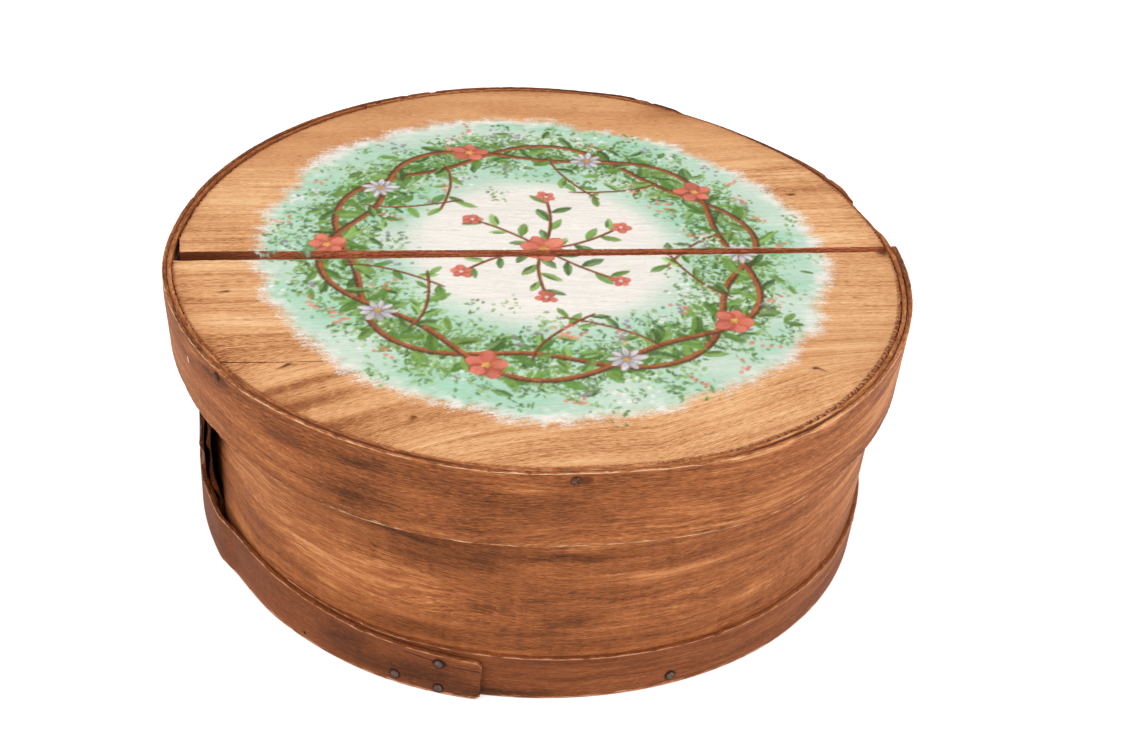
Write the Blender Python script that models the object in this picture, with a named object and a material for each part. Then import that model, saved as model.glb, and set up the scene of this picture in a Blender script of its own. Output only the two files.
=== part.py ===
"""A round bentwood cheese box with a lift-off lid, in metres, +Z up, its front towards -Y.

Angles are in degrees, counted from +X towards +Y as seen from above. The origin is the middle of
the box on the ground. Bent plies are flat sheets wrapped round the box and given a thickness.
"""
import math

import bmesh
import bpy
from mathutils import Euler

# Overall sizes
LID_RADIUS = 0.2000
LID_RIM_TOP = 0.1525
LID_RIM_DEPTH = 0.0437
LID_ROOM = 0.0075
HOOP_HEIGHT = 0.0275

# Thicknesses of plies and boards
RIM_PLY = 0.0022
SIDE_PLY = 0.0019
HOOP_PLY = 0.0022
LID_BOARD = 0.0095
BOTTOM_BOARD = 0.0110

# Clearances and cuts
SEAT_GAP = 0.0003
OVERRUN = 0.0040
BORE_CLEARANCE = 0.0003
TIP_CLEARANCE = 0.0008

# How the pieces lie
RIM_PROUD = 0.0012
LID_SHIFT_X = -0.0040
LID_SHIFT_Y = -0.0005
LAP_DIP = 0.0015
SIDE_SPLAY = 0.0046
SIDE_SPLAY_SPREAD = 0.0013
HOOP_SPRING = 0.0017
RIM_SPRING = 0.0018
STUB_SPRING = 0.0023
RIM_TUCK = 0.0025
LID_DENT = 0.0022
BOX_BULGE = 0.0010

# Boards: the open seam in the lid, the closed one in the bottom
LID_SEAM_LEFT = 0.0088
LID_SEAM_RIGHT = 0.0046
LID_CORNER_CUT = 0.0030
BOTTOM_SEAM = 0.0005
BOTTOM_SEAM_Y = 0.0090

# Nails
HEAD_RADIUS = 0.0022
HEAD_HEIGHT = 0.0007
SHANK_RADIUS = 0.0009
NAIL_POINT = 0.0030
LID_NAIL_LENGTH = 0.0180
LID_NAIL_DEPTH = 0.0031
BASE_NAIL_LENGTH = 0.0200
TACK_LENGTH = 0.0110
NAIL_SIDES = 8

# The box is a little out of round: cosine and sine parts of twice and three times the angle
OUT_OF_ROUND_SHARES = ((2, -0.0011, 0.0078), (3, 0.0032, -0.0076))

# Angles of the bent plies
STEP = 5
SIDE_LAP_START = 176
SIDE_LAP_END = 211
SIDE_LAP_FREE = 193
SIDE_LAP_RISE = (162, 174)
SIDE_DIP_OUT = (214, 230)
HOOP_FALL = (211, 218)
HOOP_START = 231
HOOP_END = 265
HOOP_RISE = (220, 230)
HOOP_SKIVE_TURN = 20
HOOP_SKIVE_SHARE = 0.3
RIM_OUTER_START = 24.5
RIM_OUTER_END = 369.5
RIM_SPRING_START = 330
RIM_INNER_START = 128
RIM_INNER_END = 487.2
LID_SEAM_FRONT_LEFT = 192.7
LID_SEAM_FRONT_RIGHT = 368.3
LID_CORNER_END = 186

# Rows of the side: shares of the height between hoop and lid, then each row's splay and edge turn
OPEN_ROW_SHARES = (0, 0.2, 0.4, 0.6, 0.8, 1)
SPLAY_ROW_SHARES = (0, 0, 0.8, 1, 0.7, 0.6, 0.4, 0.1)
LAP_EDGE_TURNS = (-1.6, -1.4, -0.4, -1.6, 0.2, -0.8, 0.8, 0.4)

# Heights of the top edges, each against the angle that it holds at
HOOP_TOP_SHARES = ((231, 1.14), (245, 1.08), (265, 1.03), (300, 0.98), (420, 1), (540, 1.04),
                   (586, 1.1), (610, 1.0), (625, 0.94))
RIM_PROUD_SHARES = ((0, 1), (40, 0.9), (53, 0.5), (65, 0.8), (70, 2.2), (75, 3.2), (80, 2.8),
                    (85, 2.1), (92, 1.9), (118, 1.2), (180, 1), (270, 1), (360, 1))

# Where the lid alone, or the box alone, is pressed in or bulges out, where the rim's foot is
# tucked in, and where the rear end of its outer ply springs off
LID_DENT_SHARES = ((0, 0), (180, 0), (188, 0.35), (195, 0.6), (203, 0.3), (212, 0), (262, 0),
                   (272, -0.5), (279, -1), (286, -0.8), (295, 0), (302, 0.7), (318, 0.6), (335, 0),
                   (360, 0))
BOX_BULGE_SHARES = ((0, 0.6), (20, 0), (195, 0), (207, -0.8), (220, -0.6), (235, 0), (285, 0),
                    (300, 0.4), (313, 1), (325, 1.1), (340, 0.8), (360, 0.6))
RIM_TUCK_SHARES = ((0, 0), (180, 0), (195, 0.6), (207, 1), (220, 0.8), (240, 0), (360, 0))
STUB_SPRING_SHARES = ((24.5, 0.4), (28, 0.95), (37, 1), (41, 0.65), (46, 0.2), (52, 0))

# Nails: angles, and heights as shares of what they hold
LID_NAIL_ANGLES = (277, 223, 176, 137, 99, 61, 29)
BASE_NAIL_SHARES = ((251.8, 0.6), (258.6, 0.4), (294.6, 0.62), (350, 0.5), (30, 0.55), (70, 0.5),
                    (110, 0.55), (150, 0.5), (190, 0.55))
HOOP_TACK_ANGLE = 258.5
HOOP_TACK_SHARE = 0.77
LAP_TACK_ANGLE = 190
LAP_TACK_SHARES = (0.3, 0.5, 0.7)
EMPTY_BORE_ANGLE = 235.3
EMPTY_BORE_SHARE = 0.42

# Sizes that follow
LID_TOP = LID_RIM_TOP - RIM_PROUD
SIDE_HEIGHT = LID_TOP - LID_BOARD - SEAT_GAP
RIM_OUTER_FACE = LID_RADIUS - RIM_PLY
RIM_INNER_FACE = RIM_OUTER_FACE - SEAT_GAP - RIM_PLY
LID_BOARD_RADIUS = RIM_INNER_FACE - SEAT_GAP
SIDE_OUTER_PLY_FACE = RIM_INNER_FACE - LID_ROOM - SIDE_PLY
SIDE_INNER_PLY_FACE = SIDE_OUTER_PLY_FACE - SEAT_GAP - SIDE_PLY
BOTTOM_RADIUS = SIDE_INNER_PLY_FACE - SEAT_GAP
HOOP_INNER = SIDE_OUTER_PLY_FACE + SIDE_PLY + SEAT_GAP
HOOP_RADIUS = HOOP_INNER + HOOP_PLY
SIDE_LAP_LIFT = 2 * (SIDE_PLY + SEAT_GAP) - LAP_DIP
HOOP_CREST = HOOP_HEIGHT * max(share for angle, share in HOOP_TOP_SHARES) + SEAT_GAP
RIM_FOOT = LID_RIM_TOP - LID_RIM_DEPTH
SIDE_ROWS = (0, *(HOOP_CREST + (RIM_FOOT - HOOP_CREST) * share for share in OPEN_ROW_SHARES),
             SIDE_HEIGHT)


def swell(angle):
    """How far the box stands out of its circle at an angle."""
    turn = math.radians(angle)
    waves = [c * math.cos(n * turn) + s * math.sin(n * turn) for n, c, s in OUT_OF_ROUND_SHARES]
    return LID_RADIUS * sum(waves)


def ease(angle, first, last):
    """A smooth rise from 0 at the first angle to 1 at the last."""
    part = min(max((angle - first) / (last - first), 0), 1)
    return part * part * (3 - 2 * part)


def read_table(table, angle):
    """The value of a table of angles and shares at an angle, straight between its rows."""
    for (first, low), (last, high) in zip(table, table[1:]):
        if first <= angle <= last:
            return low + (high - low) * (angle - first) / (last - first)
    return table[0][1] if angle < table[0][0] else table[-1][1]


def stations(first, last, *others):
    """The angles where a bent sheet is creased: its ends, each whole step between, and others."""
    start = math.floor(first / STEP) + 1
    stop = math.ceil(last / STEP)
    return sorted([first, last, *others, *(STEP * count for count in range(start, stop))])


def lap_dip(angle):
    """How far the beginnings of the side's plies are pressed inwards under their lap."""
    around = angle % 360
    return -LAP_DIP * ease(around, *SIDE_LAP_RISE) * (1 - ease(around, *SIDE_DIP_OUT))


def side_offset(angle):
    """The side's offset along its wrap: dipped where it begins, lifted where it laps itself."""
    if angle < SIDE_LAP_START + 180:
        return lap_dip(angle)
    return SIDE_LAP_LIFT * ease(angle - 360, *SIDE_LAP_RISE)


def hoop_ply(angle):
    """The base hoop's thickness along its wrap, skived thin where it begins."""
    skived = 1 - ease(angle, HOOP_START, HOOP_START + HOOP_SKIVE_TURN)
    return HOOP_PLY * (1 - (1 - HOOP_SKIVE_SHARE) * skived)


def hoop_offset(angle):
    """The base hoop's offset along its wrap: over the side's lap, then over its own beginning."""
    over_side = ease(angle - 360, *SIDE_LAP_RISE) * (1 - ease(angle - 360, *HOOP_FALL))
    over_self = ease(angle - 360, *HOOP_RISE) * (hoop_ply(angle - 360) + SEAT_GAP)
    sprung = ease(angle - 360, HOOP_START, HOOP_END + 12)
    return max(SIDE_LAP_LIFT * over_side, over_self) + HOOP_SPRING * sprung


def rim_offset(angle):
    """How far the lid rim's outer ply springs off at its two ends."""
    late = ease(angle, RIM_SPRING_START, 2 * RIM_OUTER_END - RIM_SPRING_START) * 2
    return RIM_SPRING * late + STUB_SPRING * read_table(STUB_SPRING_SHARES, angle)


def lid_bend(angle):
    """How far the lid stands out of its circle at an angle, with its own dent and bulge."""
    return swell(angle) + LID_DENT * read_table(LID_DENT_SHARES, angle % 360)


def box_bend(angle):
    """How far the box stands out of its circle at an angle, with its own flats and bulges."""
    return swell(angle) + BOX_BULGE * read_table(BOX_BULGE_SHARES, angle % 360)


def rim_top(angle):
    """The lid rim's top edge, uneven behind where it is chipped."""
    return LID_TOP + RIM_PROUD * read_table(RIM_PROUD_SHARES, angle % 360)


def hoop_outer(angle):
    """The outer face of the base hoop where a nail goes in, on the layer that is outside."""
    wrap = angle + 360 if angle < HOOP_END else angle
    return HOOP_RADIUS + hoop_offset(wrap) + box_bend(angle)


def make_material(name, colour, roughness, metallic=0.0):
    """One Principled material with the part's plain colour."""
    material = bpy.data.materials.new(name)
    material.use_nodes = True
    shader = material.node_tree.nodes["Principled BSDF"]
    shader.inputs["Base Color"].default_value = (*colour, 1)
    shader.inputs["Roughness"].default_value = roughness
    shader.inputs["Metallic"].default_value = metallic
    return material


def add_object(name, mesh, parent=None, material=None):
    """Put a mesh into the scene as a named object."""
    piece = bpy.data.objects.new(name, mesh)
    bpy.context.scene.collection.objects.link(piece)
    piece.parent = parent
    if material:
        mesh.materials.append(material)
    return piece


def finish_mesh(name, work):
    """Turn a bmesh into a mesh with its faces outwards and its flats kept crisp."""
    bmesh.ops.recalc_face_normals(work, faces=work.faces)
    mesh = bpy.data.meshes.new(name)
    work.to_mesh(mesh)
    work.free()
    mesh.shade_smooth()
    mesh.set_sharp_from_angle(angle=math.radians(35))
    return mesh


def bend_sheet(name, columns, rows, ply, place, parent, material):
    """A flat sheet of veneer bent so that place() gives its inner face and ply() its thickness."""
    work = bmesh.new()
    bmesh.ops.create_grid(work, x_segments=columns, y_segments=rows, size=1)
    flat = list(work.faces)
    raised = bmesh.ops.extrude_face_region(work, geom=flat, use_keep_orig=True)
    for vert in raised["geom"]:
        if isinstance(vert, bmesh.types.BMVert):
            vert.co.z = 1
    for vert in work.verts:
        column = round((vert.co.x + 1) / 2 * columns)
        row = round((vert.co.y + 1) / 2 * rows)
        angle, radius, height = place(column, row)
        radius += ply(angle) * vert.co.z
        turn = math.radians(angle)
        vert.co = (radius * math.cos(turn), radius * math.sin(turn), height)
    return add_object(name, finish_mesh(name, work), parent, material)


def side_ply(name, face, spread, turn_back, material):
    """One of the side's two plies, with its free end splayed out of the lap and ragged."""
    first = SIDE_LAP_START + turn_back
    fixed = stations(first, SIDE_LAP_FREE + 360)
    free = 5
    columns = len(fixed) - 1 + free

    def place(column, row):
        edge = SIDE_LAP_END + LAP_EDGE_TURNS[row] - turn_back / 2
        out = max(column - len(fixed) + 1, 0) / free
        angle = fixed[min(column, len(fixed) - 1)] + (edge - SIDE_LAP_FREE) * out
        splay = (SIDE_SPLAY + spread) * SPLAY_ROW_SHARES[row] * out * out
        return angle, face + box_bend(angle) + side_offset(angle) + splay, SIDE_ROWS[row]

    return bend_sheet(name, columns, len(SIDE_ROWS) - 1, lambda angle: SIDE_PLY, place, None,
                      material)


def base_hoop(material):
    """The hoop round the foot: one strip whose sprung end laps over its beginning."""
    angles = stations(HOOP_START, HOOP_END + 360, SIDE_LAP_END + 360)
    corner_turn = math.degrees(HOOP_PLY / HOOP_RADIUS)
    row_shares = (0, 0.14, 0.88, 1)

    def place(column, row):
        angle = angles[column]
        height = HOOP_HEIGHT * read_table(HOOP_TOP_SHARES, angle) * row_shares[row]
        if column == len(angles) - 1 and row in (0, 3):
            angle -= corner_turn
        return angle, HOOP_INNER + box_bend(angle) + hoop_offset(angle), height

    return bend_sheet("base_hoop", len(angles) - 1, 3, hoop_ply, place, None, material)


def rim_ply(name, first, last, face, offset, slant, parent, material):
    """One ply of the lid's rim, its first end cut on a slant."""
    angles = stations(first, last)

    def place(column, row):
        angle = angles[column]
        height = (RIM_FOOT, SIDE_HEIGHT, rim_top(angle))[row]
        radius = face + lid_bend(angle) + offset(angle)
        if row == 0:
            radius -= RIM_TUCK * read_table(RIM_TUCK_SHARES, angle % 360)
        if column == 0:
            angle -= slant * (LID_RIM_TOP - height) / LID_RIM_DEPTH
        return angle, radius, height

    return bend_sheet(name, len(angles) - 1, 2, lambda angle: RIM_PLY, place, parent, material)


def board(name, outline, bottom, thickness, parent, material):
    """A flat board: its outline filled and raised by its thickness."""
    work = bmesh.new()
    corners = [work.verts.new((x, y, bottom)) for x, y in outline]
    face = work.faces.new(corners)
    raised = bmesh.ops.extrude_face_region(work, geom=[face], use_keep_orig=True)
    lifted = [item for item in raised["geom"] if isinstance(item, bmesh.types.BMVert)]
    bmesh.ops.translate(work, verts=lifted, vec=(0, 0, thickness))
    return add_object(name, finish_mesh(name, work), parent, material)


def edge_point(radius, angle):
    """The point at a radius and an angle."""
    turn = math.radians(angle)
    return radius * math.cos(turn), radius * math.sin(turn)


def shift_point(point, toward, distance):
    """A point moved by a distance at right angles to the line from it to another."""
    along = math.hypot(toward[0] - point[0], toward[1] - point[1])
    across = (-(toward[1] - point[1]) / along, (toward[0] - point[0]) / along)
    return point[0] + across[0] * distance, point[1] + across[1] * distance


def lid_boards(parent, material):
    """The lid's two boards, with an open tapered seam and the rear board's corner cut short."""
    radius = LID_BOARD_RADIUS
    front = [edge_point(radius + lid_bend(angle), angle) for angle in
             stations(LID_SEAM_FRONT_LEFT, LID_SEAM_FRONT_RIGHT)]
    left = shift_point(front[0], front[-1], LID_SEAM_LEFT)
    right = shift_point(front[-1], front[0], -LID_SEAM_RIGHT)
    turn_right = math.degrees(math.asin(LID_SEAM_RIGHT / radius))
    rear = [edge_point(radius + lid_bend(angle), angle) for angle in
            stations(LID_SEAM_FRONT_RIGHT - 360 + turn_right, LID_CORNER_END)]
    share = LID_CORNER_CUT / (2 * radius)
    corner = (left[0] + (right[0] - left[0]) * share, left[1] + (right[1] - left[1]) * share)
    bottom = LID_TOP - LID_BOARD
    pieces = [board("lid_board_front", front, bottom, LID_BOARD, parent, material)]
    pieces.append(board("lid_board_back", rear + [corner], bottom, LID_BOARD, parent, material))
    return pieces


def bottom_boards(material):
    """The bottom's two boards, with their joint behind the middle."""
    half = BOTTOM_SEAM / 2
    rear_turn = math.degrees(math.asin((BOTTOM_SEAM_Y + half) / BOTTOM_RADIUS))
    front_turn = math.degrees(math.asin((BOTTOM_SEAM_Y - half) / BOTTOM_RADIUS))
    spans = (("bottom_board_front", 180 - front_turn, 360 + front_turn, BOTTOM_SEAM_Y - half),
             ("bottom_board_back", rear_turn, 180 - rear_turn, BOTTOM_SEAM_Y + half))
    pieces = []
    for name, first, last, seam in spans:
        angles = stations(first, last)
        outline = [edge_point(BOTTOM_RADIUS + box_bend(angle) + lap_dip(angle), angle)
                   for angle in angles]
        outline[0] = (outline[0][0], seam)
        outline[-1] = (outline[-1][0], seam)
        pieces.append(board(name, outline, 0, BOTTOM_BOARD, None, material))
    return pieces


def nail_mesh(name, length, material):
    """A nail turned about Z: a low domed head above the ground plane and its shank below."""
    work = bmesh.new()
    outline = ((0, HEAD_HEIGHT), (HEAD_RADIUS * 0.62, HEAD_HEIGHT * 0.9),
               (HEAD_RADIUS, HEAD_HEIGHT * 0.35), (HEAD_RADIUS * 0.94, 0), (SHANK_RADIUS, 0),
               (SHANK_RADIUS, NAIL_POINT - length), (0, -length))
    corners = [work.verts.new((x, 0, z)) for x, z in outline]
    edges = [work.edges.new(pair) for pair in zip(corners, corners[1:])]
    bmesh.ops.spin(work, geom=corners + edges, cent=(0, 0, 0), axis=(0, 0, 1),
                   angle=math.tau, steps=NAIL_SIDES, use_merge=True)
    bmesh.ops.remove_doubles(work, verts=work.verts, dist=BORE_CLEARANCE / 10)
    mesh = finish_mesh(name, work)
    mesh.materials.append(material)
    return mesh


def bore_through(name, places, length, parent):
    """One cutter with a bore for each nail, from outside its head to just past its point."""
    work = bmesh.new()
    for angle, radius, height in places:
        middle = radius + (OVERRUN - length - TIP_CLEARANCE) / 2
        made = bmesh.ops.create_cone(work, cap_ends=True, segments=NAIL_SIDES,
                                     radius1=(SHANK_RADIUS + BORE_CLEARANCE) * BORE_SPREAD,
                                     radius2=(SHANK_RADIUS + BORE_CLEARANCE) * BORE_SPREAD,
                                     depth=length + TIP_CLEARANCE + OVERRUN)
        turn = math.radians(angle)
        tilt = nail_rotation(angle).to_matrix()
        bmesh.ops.rotate(work, verts=made["verts"], cent=(0, 0, 0), matrix=tilt)
        vec = (middle * math.cos(turn), middle * math.sin(turn), height)
        bmesh.ops.translate(work, verts=made["verts"], vec=vec)
    cutter = add_object(name, finish_mesh(name, work), parent)
    cutter.hide_render = True
    cutter.display_type = 'WIRE'
    return cutter


# A bore's flats, not its corners, keep their clearance to the shank
BORE_SPREAD = 1 / math.cos(math.pi / NAIL_SIDES)


def nail_rotation(angle):
    """Turns a nail's own +Z to point outwards from the box at an angle."""
    return Euler((0, math.pi / 2, math.radians(angle)))


def add_nails(prefix, places, mesh, parent):
    """One nail object for each place, its head just clear of the face that it holds."""
    for count, (angle, radius, height) in enumerate(places, 1):
        turn = math.radians(angle)
        nail = add_object(f"{prefix}_{count}", mesh, parent)
        nail.location = (radius * math.cos(turn), radius * math.sin(turn), height)
        nail.rotation_euler = nail_rotation(angle)


def cut(piece, cutter):
    """Cut a piece by a cutter."""
    boolean = piece.modifiers.new(cutter.name, 'BOOLEAN')
    boolean.operation = 'DIFFERENCE'
    boolean.object = cutter


def build_lid(wood, bent, iron):
    """The lid: two boards inside a rim of two bent plies, nailed through the rim."""
    lid = bpy.data.objects.new("lid_axis", None)
    bpy.context.scene.collection.objects.link(lid)
    lid.location = (LID_SHIFT_X, LID_SHIFT_Y, 0)
    boards = lid_boards(lid, wood)
    inner = rim_ply("lid_rim_inner_ply", RIM_INNER_START, RIM_INNER_END, RIM_INNER_FACE,
                    lambda angle: 0, 0, lid, bent)
    outer = rim_ply("lid_rim_outer_ply", RIM_OUTER_START, RIM_OUTER_END, RIM_OUTER_FACE,
                    rim_offset, 3, lid, bent)
    places = []
    for angle in LID_NAIL_ANGLES:
        wrap = angle if angle > RIM_OUTER_START else angle + 360
        radius = LID_RADIUS + SEAT_GAP + rim_offset(wrap) + lid_bend(angle)
        places.append((angle, radius, LID_TOP - LID_NAIL_DEPTH))
    add_nails("lid_nail", places, nail_mesh("lid_nail", LID_NAIL_LENGTH, iron), lid)
    bores = bore_through("lid_nail_bores", places, LID_NAIL_LENGTH, lid)
    for piece in boards + [inner, outer]:
        cut(piece, bores)


def build_box(wood, bent, iron):
    """The box: bottom boards, the side's two plies and the base hoop, nailed through the hoop."""
    boards = bottom_boards(wood)
    inner = side_ply("side_inner_ply", SIDE_INNER_PLY_FACE, 0, 0, bent)
    outer = side_ply("side_outer_ply", SIDE_OUTER_PLY_FACE, SIDE_SPLAY_SPREAD, 2, bent)
    hoop = base_hoop(bent)

    nails = [(angle, hoop_outer(angle) + SEAT_GAP, BOTTOM_BOARD * share)
             for angle, share in BASE_NAIL_SHARES]
    add_nails("base_nail", nails, nail_mesh("base_nail", BASE_NAIL_LENGTH, iron), None)
    base_bores = bore_through("base_nail_bores", nails, BASE_NAIL_LENGTH, None)
    for piece in boards + [inner, outer, hoop]:
        cut(piece, base_bores)

    tack = nail_mesh("tack", TACK_LENGTH, iron)
    hoop_tack = [(HOOP_TACK_ANGLE, hoop_outer(HOOP_TACK_ANGLE) + SEAT_GAP,
                  HOOP_HEIGHT * HOOP_TACK_SHARE)]
    add_nails("hoop_lap_tack", hoop_tack, tack, None)
    lap_radius = HOOP_INNER + SIDE_LAP_LIFT + box_bend(LAP_TACK_ANGLE)
    lap_tacks = [(LAP_TACK_ANGLE, lap_radius, HOOP_CREST + (RIM_FOOT - HOOP_CREST) * share)
                 for share in LAP_TACK_SHARES]
    add_nails("side_lap_tack", lap_tacks, tack, None)
    tack_bores = bore_through("tack_bores", hoop_tack + lap_tacks, TACK_LENGTH, None)
    empty = [(EMPTY_BORE_ANGLE, hoop_outer(EMPTY_BORE_ANGLE), BOTTOM_BOARD * EMPTY_BORE_SHARE)]
    empty_bore = bore_through("empty_bore", empty, HOOP_PLY, None)
    for piece in (inner, outer, hoop):
        cut(piece, tack_bores)
    cut(hoop, empty_bore)


def main():
    """Clear the scene and build the whole part."""
    for item in list(bpy.data.objects):
        bpy.data.objects.remove(item)
    board_wood = make_material("board_wood", (0.69, 0.35, 0.13), 0.55)
    bent_wood = make_material("bent_wood", (0.37, 0.14, 0.05), 0.5)
    iron = make_material("nail_iron", (0.09, 0.07, 0.06), 0.6, 0.8)
    build_box(board_wood, bent_wood, iron)
    build_lid(board_wood, bent_wood, iron)


main()
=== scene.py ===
"""The look of a round bentwood cheese box: worn boards and bent plies, nails, a painted lid.

Metres and degrees. Angles count from +X towards +Y, seen from above. Each piece follows the same
bends as the solid that it stands for.
"""
import math

import bmesh
import bpy
import numpy as np
from mathutils import Matrix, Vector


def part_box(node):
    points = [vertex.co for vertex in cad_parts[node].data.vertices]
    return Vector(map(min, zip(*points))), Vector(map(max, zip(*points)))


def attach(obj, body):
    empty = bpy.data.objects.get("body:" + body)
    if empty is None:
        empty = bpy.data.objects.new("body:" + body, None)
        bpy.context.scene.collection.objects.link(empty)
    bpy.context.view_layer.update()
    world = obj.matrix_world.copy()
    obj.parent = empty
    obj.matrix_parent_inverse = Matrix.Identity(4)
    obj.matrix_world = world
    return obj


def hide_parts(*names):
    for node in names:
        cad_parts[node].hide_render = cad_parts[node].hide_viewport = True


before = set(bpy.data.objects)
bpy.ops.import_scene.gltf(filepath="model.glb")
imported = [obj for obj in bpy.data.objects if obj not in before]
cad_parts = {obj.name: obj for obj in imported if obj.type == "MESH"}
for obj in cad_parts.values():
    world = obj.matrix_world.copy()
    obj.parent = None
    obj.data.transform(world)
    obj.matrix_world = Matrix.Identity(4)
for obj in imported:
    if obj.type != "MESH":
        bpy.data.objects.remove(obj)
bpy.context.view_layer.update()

# Sizes of the pieces, as in the solids
LID_RADIUS = 0.2000
LID_RIM_DEPTH = 0.0437
HOOP_HEIGHT = 0.0275
RIM_PLY = 0.0022
SIDE_PLY = 0.0019
HOOP_PLY = 0.0022
LID_BOARD = 0.0095
BOTTOM_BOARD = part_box("bottom_board_front")[1].z
LID_ROOM = 0.0075  # between the lid's rim and the side
SEAT_GAP = 0.0003  # between pieces that lie on each other
LID_SHIFT = (-0.0040, -0.0005)  # of the lid on the box

# How far the plies dip, spring, splay, dent and bulge where they do so most
RIM_PROUD = 0.0012  # above the lid's boards
LAP_DIP = 0.0015
SIDE_SPLAY = 0.0059
SIDE_SPLAY_SPREAD = 0.0013
HOOP_SPRING = 0.0017
RIM_SPRING = 0.0018
STUB_SPRING = 0.0023
RIM_TUCK = 0.0025
LID_DENT = 0.0022
RIM_BULGE = 0.0010
BOX_BULGE = 0.0010

# Seams between the boards
LID_SEAM_LEFT = 0.0088
LID_SEAM_RIGHT = 0.0046
LID_CORNER_CUT = 0.0030
BOTTOM_SEAM = 0.0005
BOTTOM_SEAM_Y = 0.0090

# Nails
HEAD_RADIUS = 0.0022
HEAD_HEIGHT = 0.0007
HEAD_SHARES = ((0, 1), (0.3, 0.99), (0.6, 0.93), (0.85, 0.76), (0.97, 0.45), (1, 0.2), (0.95, 0))
SHANK_RADIUS = 0.0009
NAIL_POINT = 0.0030
LID_NAIL_LENGTH = 0.0180
LID_NAIL_DEPTH = 0.0031
BASE_NAIL_LENGTH = 0.0200
TACK_LENGTH = 0.0110

# Waves of the outline: how many round the box, and their cosine and sine shares
OUT_OF_ROUND_SHARES = ((2, -0.0011, 0.0078), (3, 0.0032, -0.0076))

# Angles of the bent plies
SIDE_LAP_START = 176
SIDE_LAP_END = 211
SIDE_LAP_FREE = 193
SIDE_LAP_RISE = (162, 174)
SIDE_DIP_OUT = (214, 230)
HOOP_FALL = (211, 218)
HOOP_START = 231
HOOP_END = 265
HOOP_RISE = (220, 230)
HOOP_SKIVE_TURN = 20
HOOP_SKIVE_SHARE = 0.3
RIM_OUTER_START = 24.5
RIM_OUTER_END = 369.5
RIM_SPRING_START = 330
RIM_SLANT = 3
RIM_INNER_START = 127.7
RIM_INNER_END = 487.4
LID_SEAM_FRONT_LEFT = 192.7
LID_SEAM_FRONT_RIGHT = 368.3
LID_CORNER_END = 186

# Shares along the angles or up the rows
SPLAY_ROW_SHARES = (0, 0, 0.8, 1, 0.7, 0.6, 0.4, 0.1)
SPLAY_WAVES = ((0.05, 0.060, 0.066, 0.075, 0.082, 0.095, 0.102, 0.109, 0.13),
               (0, -0.0006, -0.0006, 0.0009, 0.0012, 0.0013, 0.0009, -0.0004, 0))
LAP_EDGE_TURNS = (-1.6, -1.4, -0.4, -1.6, 0.2, -0.8, 0.8, 0.4)
OPEN_ROW_SHARES = (0, 0.2, 0.4, 0.6, 0.8, 1)
HOOP_TOP_SHARES = ((231, 1.14), (245, 1.08), (265, 1.03), (300, 0.98), (420, 1), (540, 1.04),
                   (586, 1.1), (610, 1.0), (625, 0.94))
RIM_PROUD_SHARES = ((0, 1), (40, 0.9), (53, 0.5), (66, 0.6), (67.5, 1.8), (72.4, 2.4),
                    (72.9, 3.1), (79, 2.9), (85, 2.1), (92, 1.9), (118, 1.2), (180, 1), (270, 1),
                    (360, 1))
LID_DENT_SHARES = ((0, 0), (180, 0), (188, 0.35), (195, 0.6), (203, 0.3), (212, 0), (262, 0),
                   (272, -0.5), (279, -1), (286, -0.8), (295, 0), (302, 0.7), (318, 0.6), (335, 0),
                   (360, 0))
BOX_BULGE_SHARES = ((0, 0.6), (20, 0), (195, 0), (207, -0.8), (220, -0.6), (235, 0), (285, 0),
                    (300, 0.4), (313, 1), (325, 1.1), (340, 0.8), (360, 0.6))
BOARD_LIFT_SHARES = ((0, 0), (8, 0.2), (15, 0.9), (24, 1.6), (32, 2.5), (40, 2.6), (47, 2.2),
                     (54, 2.1), (60, 2.2), (64, 2.3), (70, 2.6), (80, 2.5), (92, 1.7),
                     (105, 1.2), (120, 0.8), (140, 0), (360, 0))
RIM_BULGE_SHARES = ((0, 0), (3, 0.4), (8, 1), (13, 1), (16, 0.3), (20, 0), (360, 0))
# Strength by angle of the painted shade along the crevice between the rim's plies
CREVICE_SHADE_SHARES = ((0, 0.3), (226, 0.3), (236, 0.55), (258, 0.6), (268, 0.2), (298, 0.3),
                  (306, 0.65), (315, 0.7), (322, 0.3), (360, 0.3))
RIM_TUCK_SHARES = ((0, 0), (180, 0), (195, 0.6), (207, 1), (220, 0.8), (240, 0), (360, 0))
STUB_SPRING_SHARES = ((24.5, 0.4), (28, 0.95), (37, 1), (41, 0.65), (46, 0.2), (52, 0))
LID_NAIL_ANGLES = (277, 223, 176, 137, 99, 61, 29)
BASE_NAIL_SHARES = ((251.8, 0.6), (258.6, 0.4), (294.6, 0.62), (350, 0.5), (30, 0.55), (70, 0.5),
                    (110, 0.55), (150, 0.5), (190, 0.55))
HOOP_TACK_ANGLE = 258.5
HOOP_TACK_SHARE = 0.77
LAP_TACK_ANGLE = 190
LAP_TACK_SHARES = (0.3, 0.5, 0.7)
EMPTY_BORE_ANGLE = 235.3
EMPTY_BORE_SHARE = 0.42

# Meshes: worn edges, distances to what a piece lies beside, and steps of the boards' grids
PLY_EDGE = 0.0004
PLY_INSET = 0.00005
RIM_INSET = 0.00016
BOTTOM_INSET = 0.00015
WARP_REACH = 0.065
FRAY_REACH = 0.0025
FOOT_SCUFF_RISE = (252, 274)
FOOT_SCUFF_FALL = (294, 318)
SNUG = 0.0001
SEAM_SETBACK = 0.0012
SEAM_STEP = 0.001
LID_STEPS = (0.00066, 0.00092)
BOTTOM_STEPS = (0.0032, 0.0032)
RING_SHARES = (0, 0.015, 0.05, 0.12, 0.35, 0.65, 1)
WALL_SHARES = (0.03, 0.1, 0.3, 0.55, 0.8, 0.97, 1)

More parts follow.
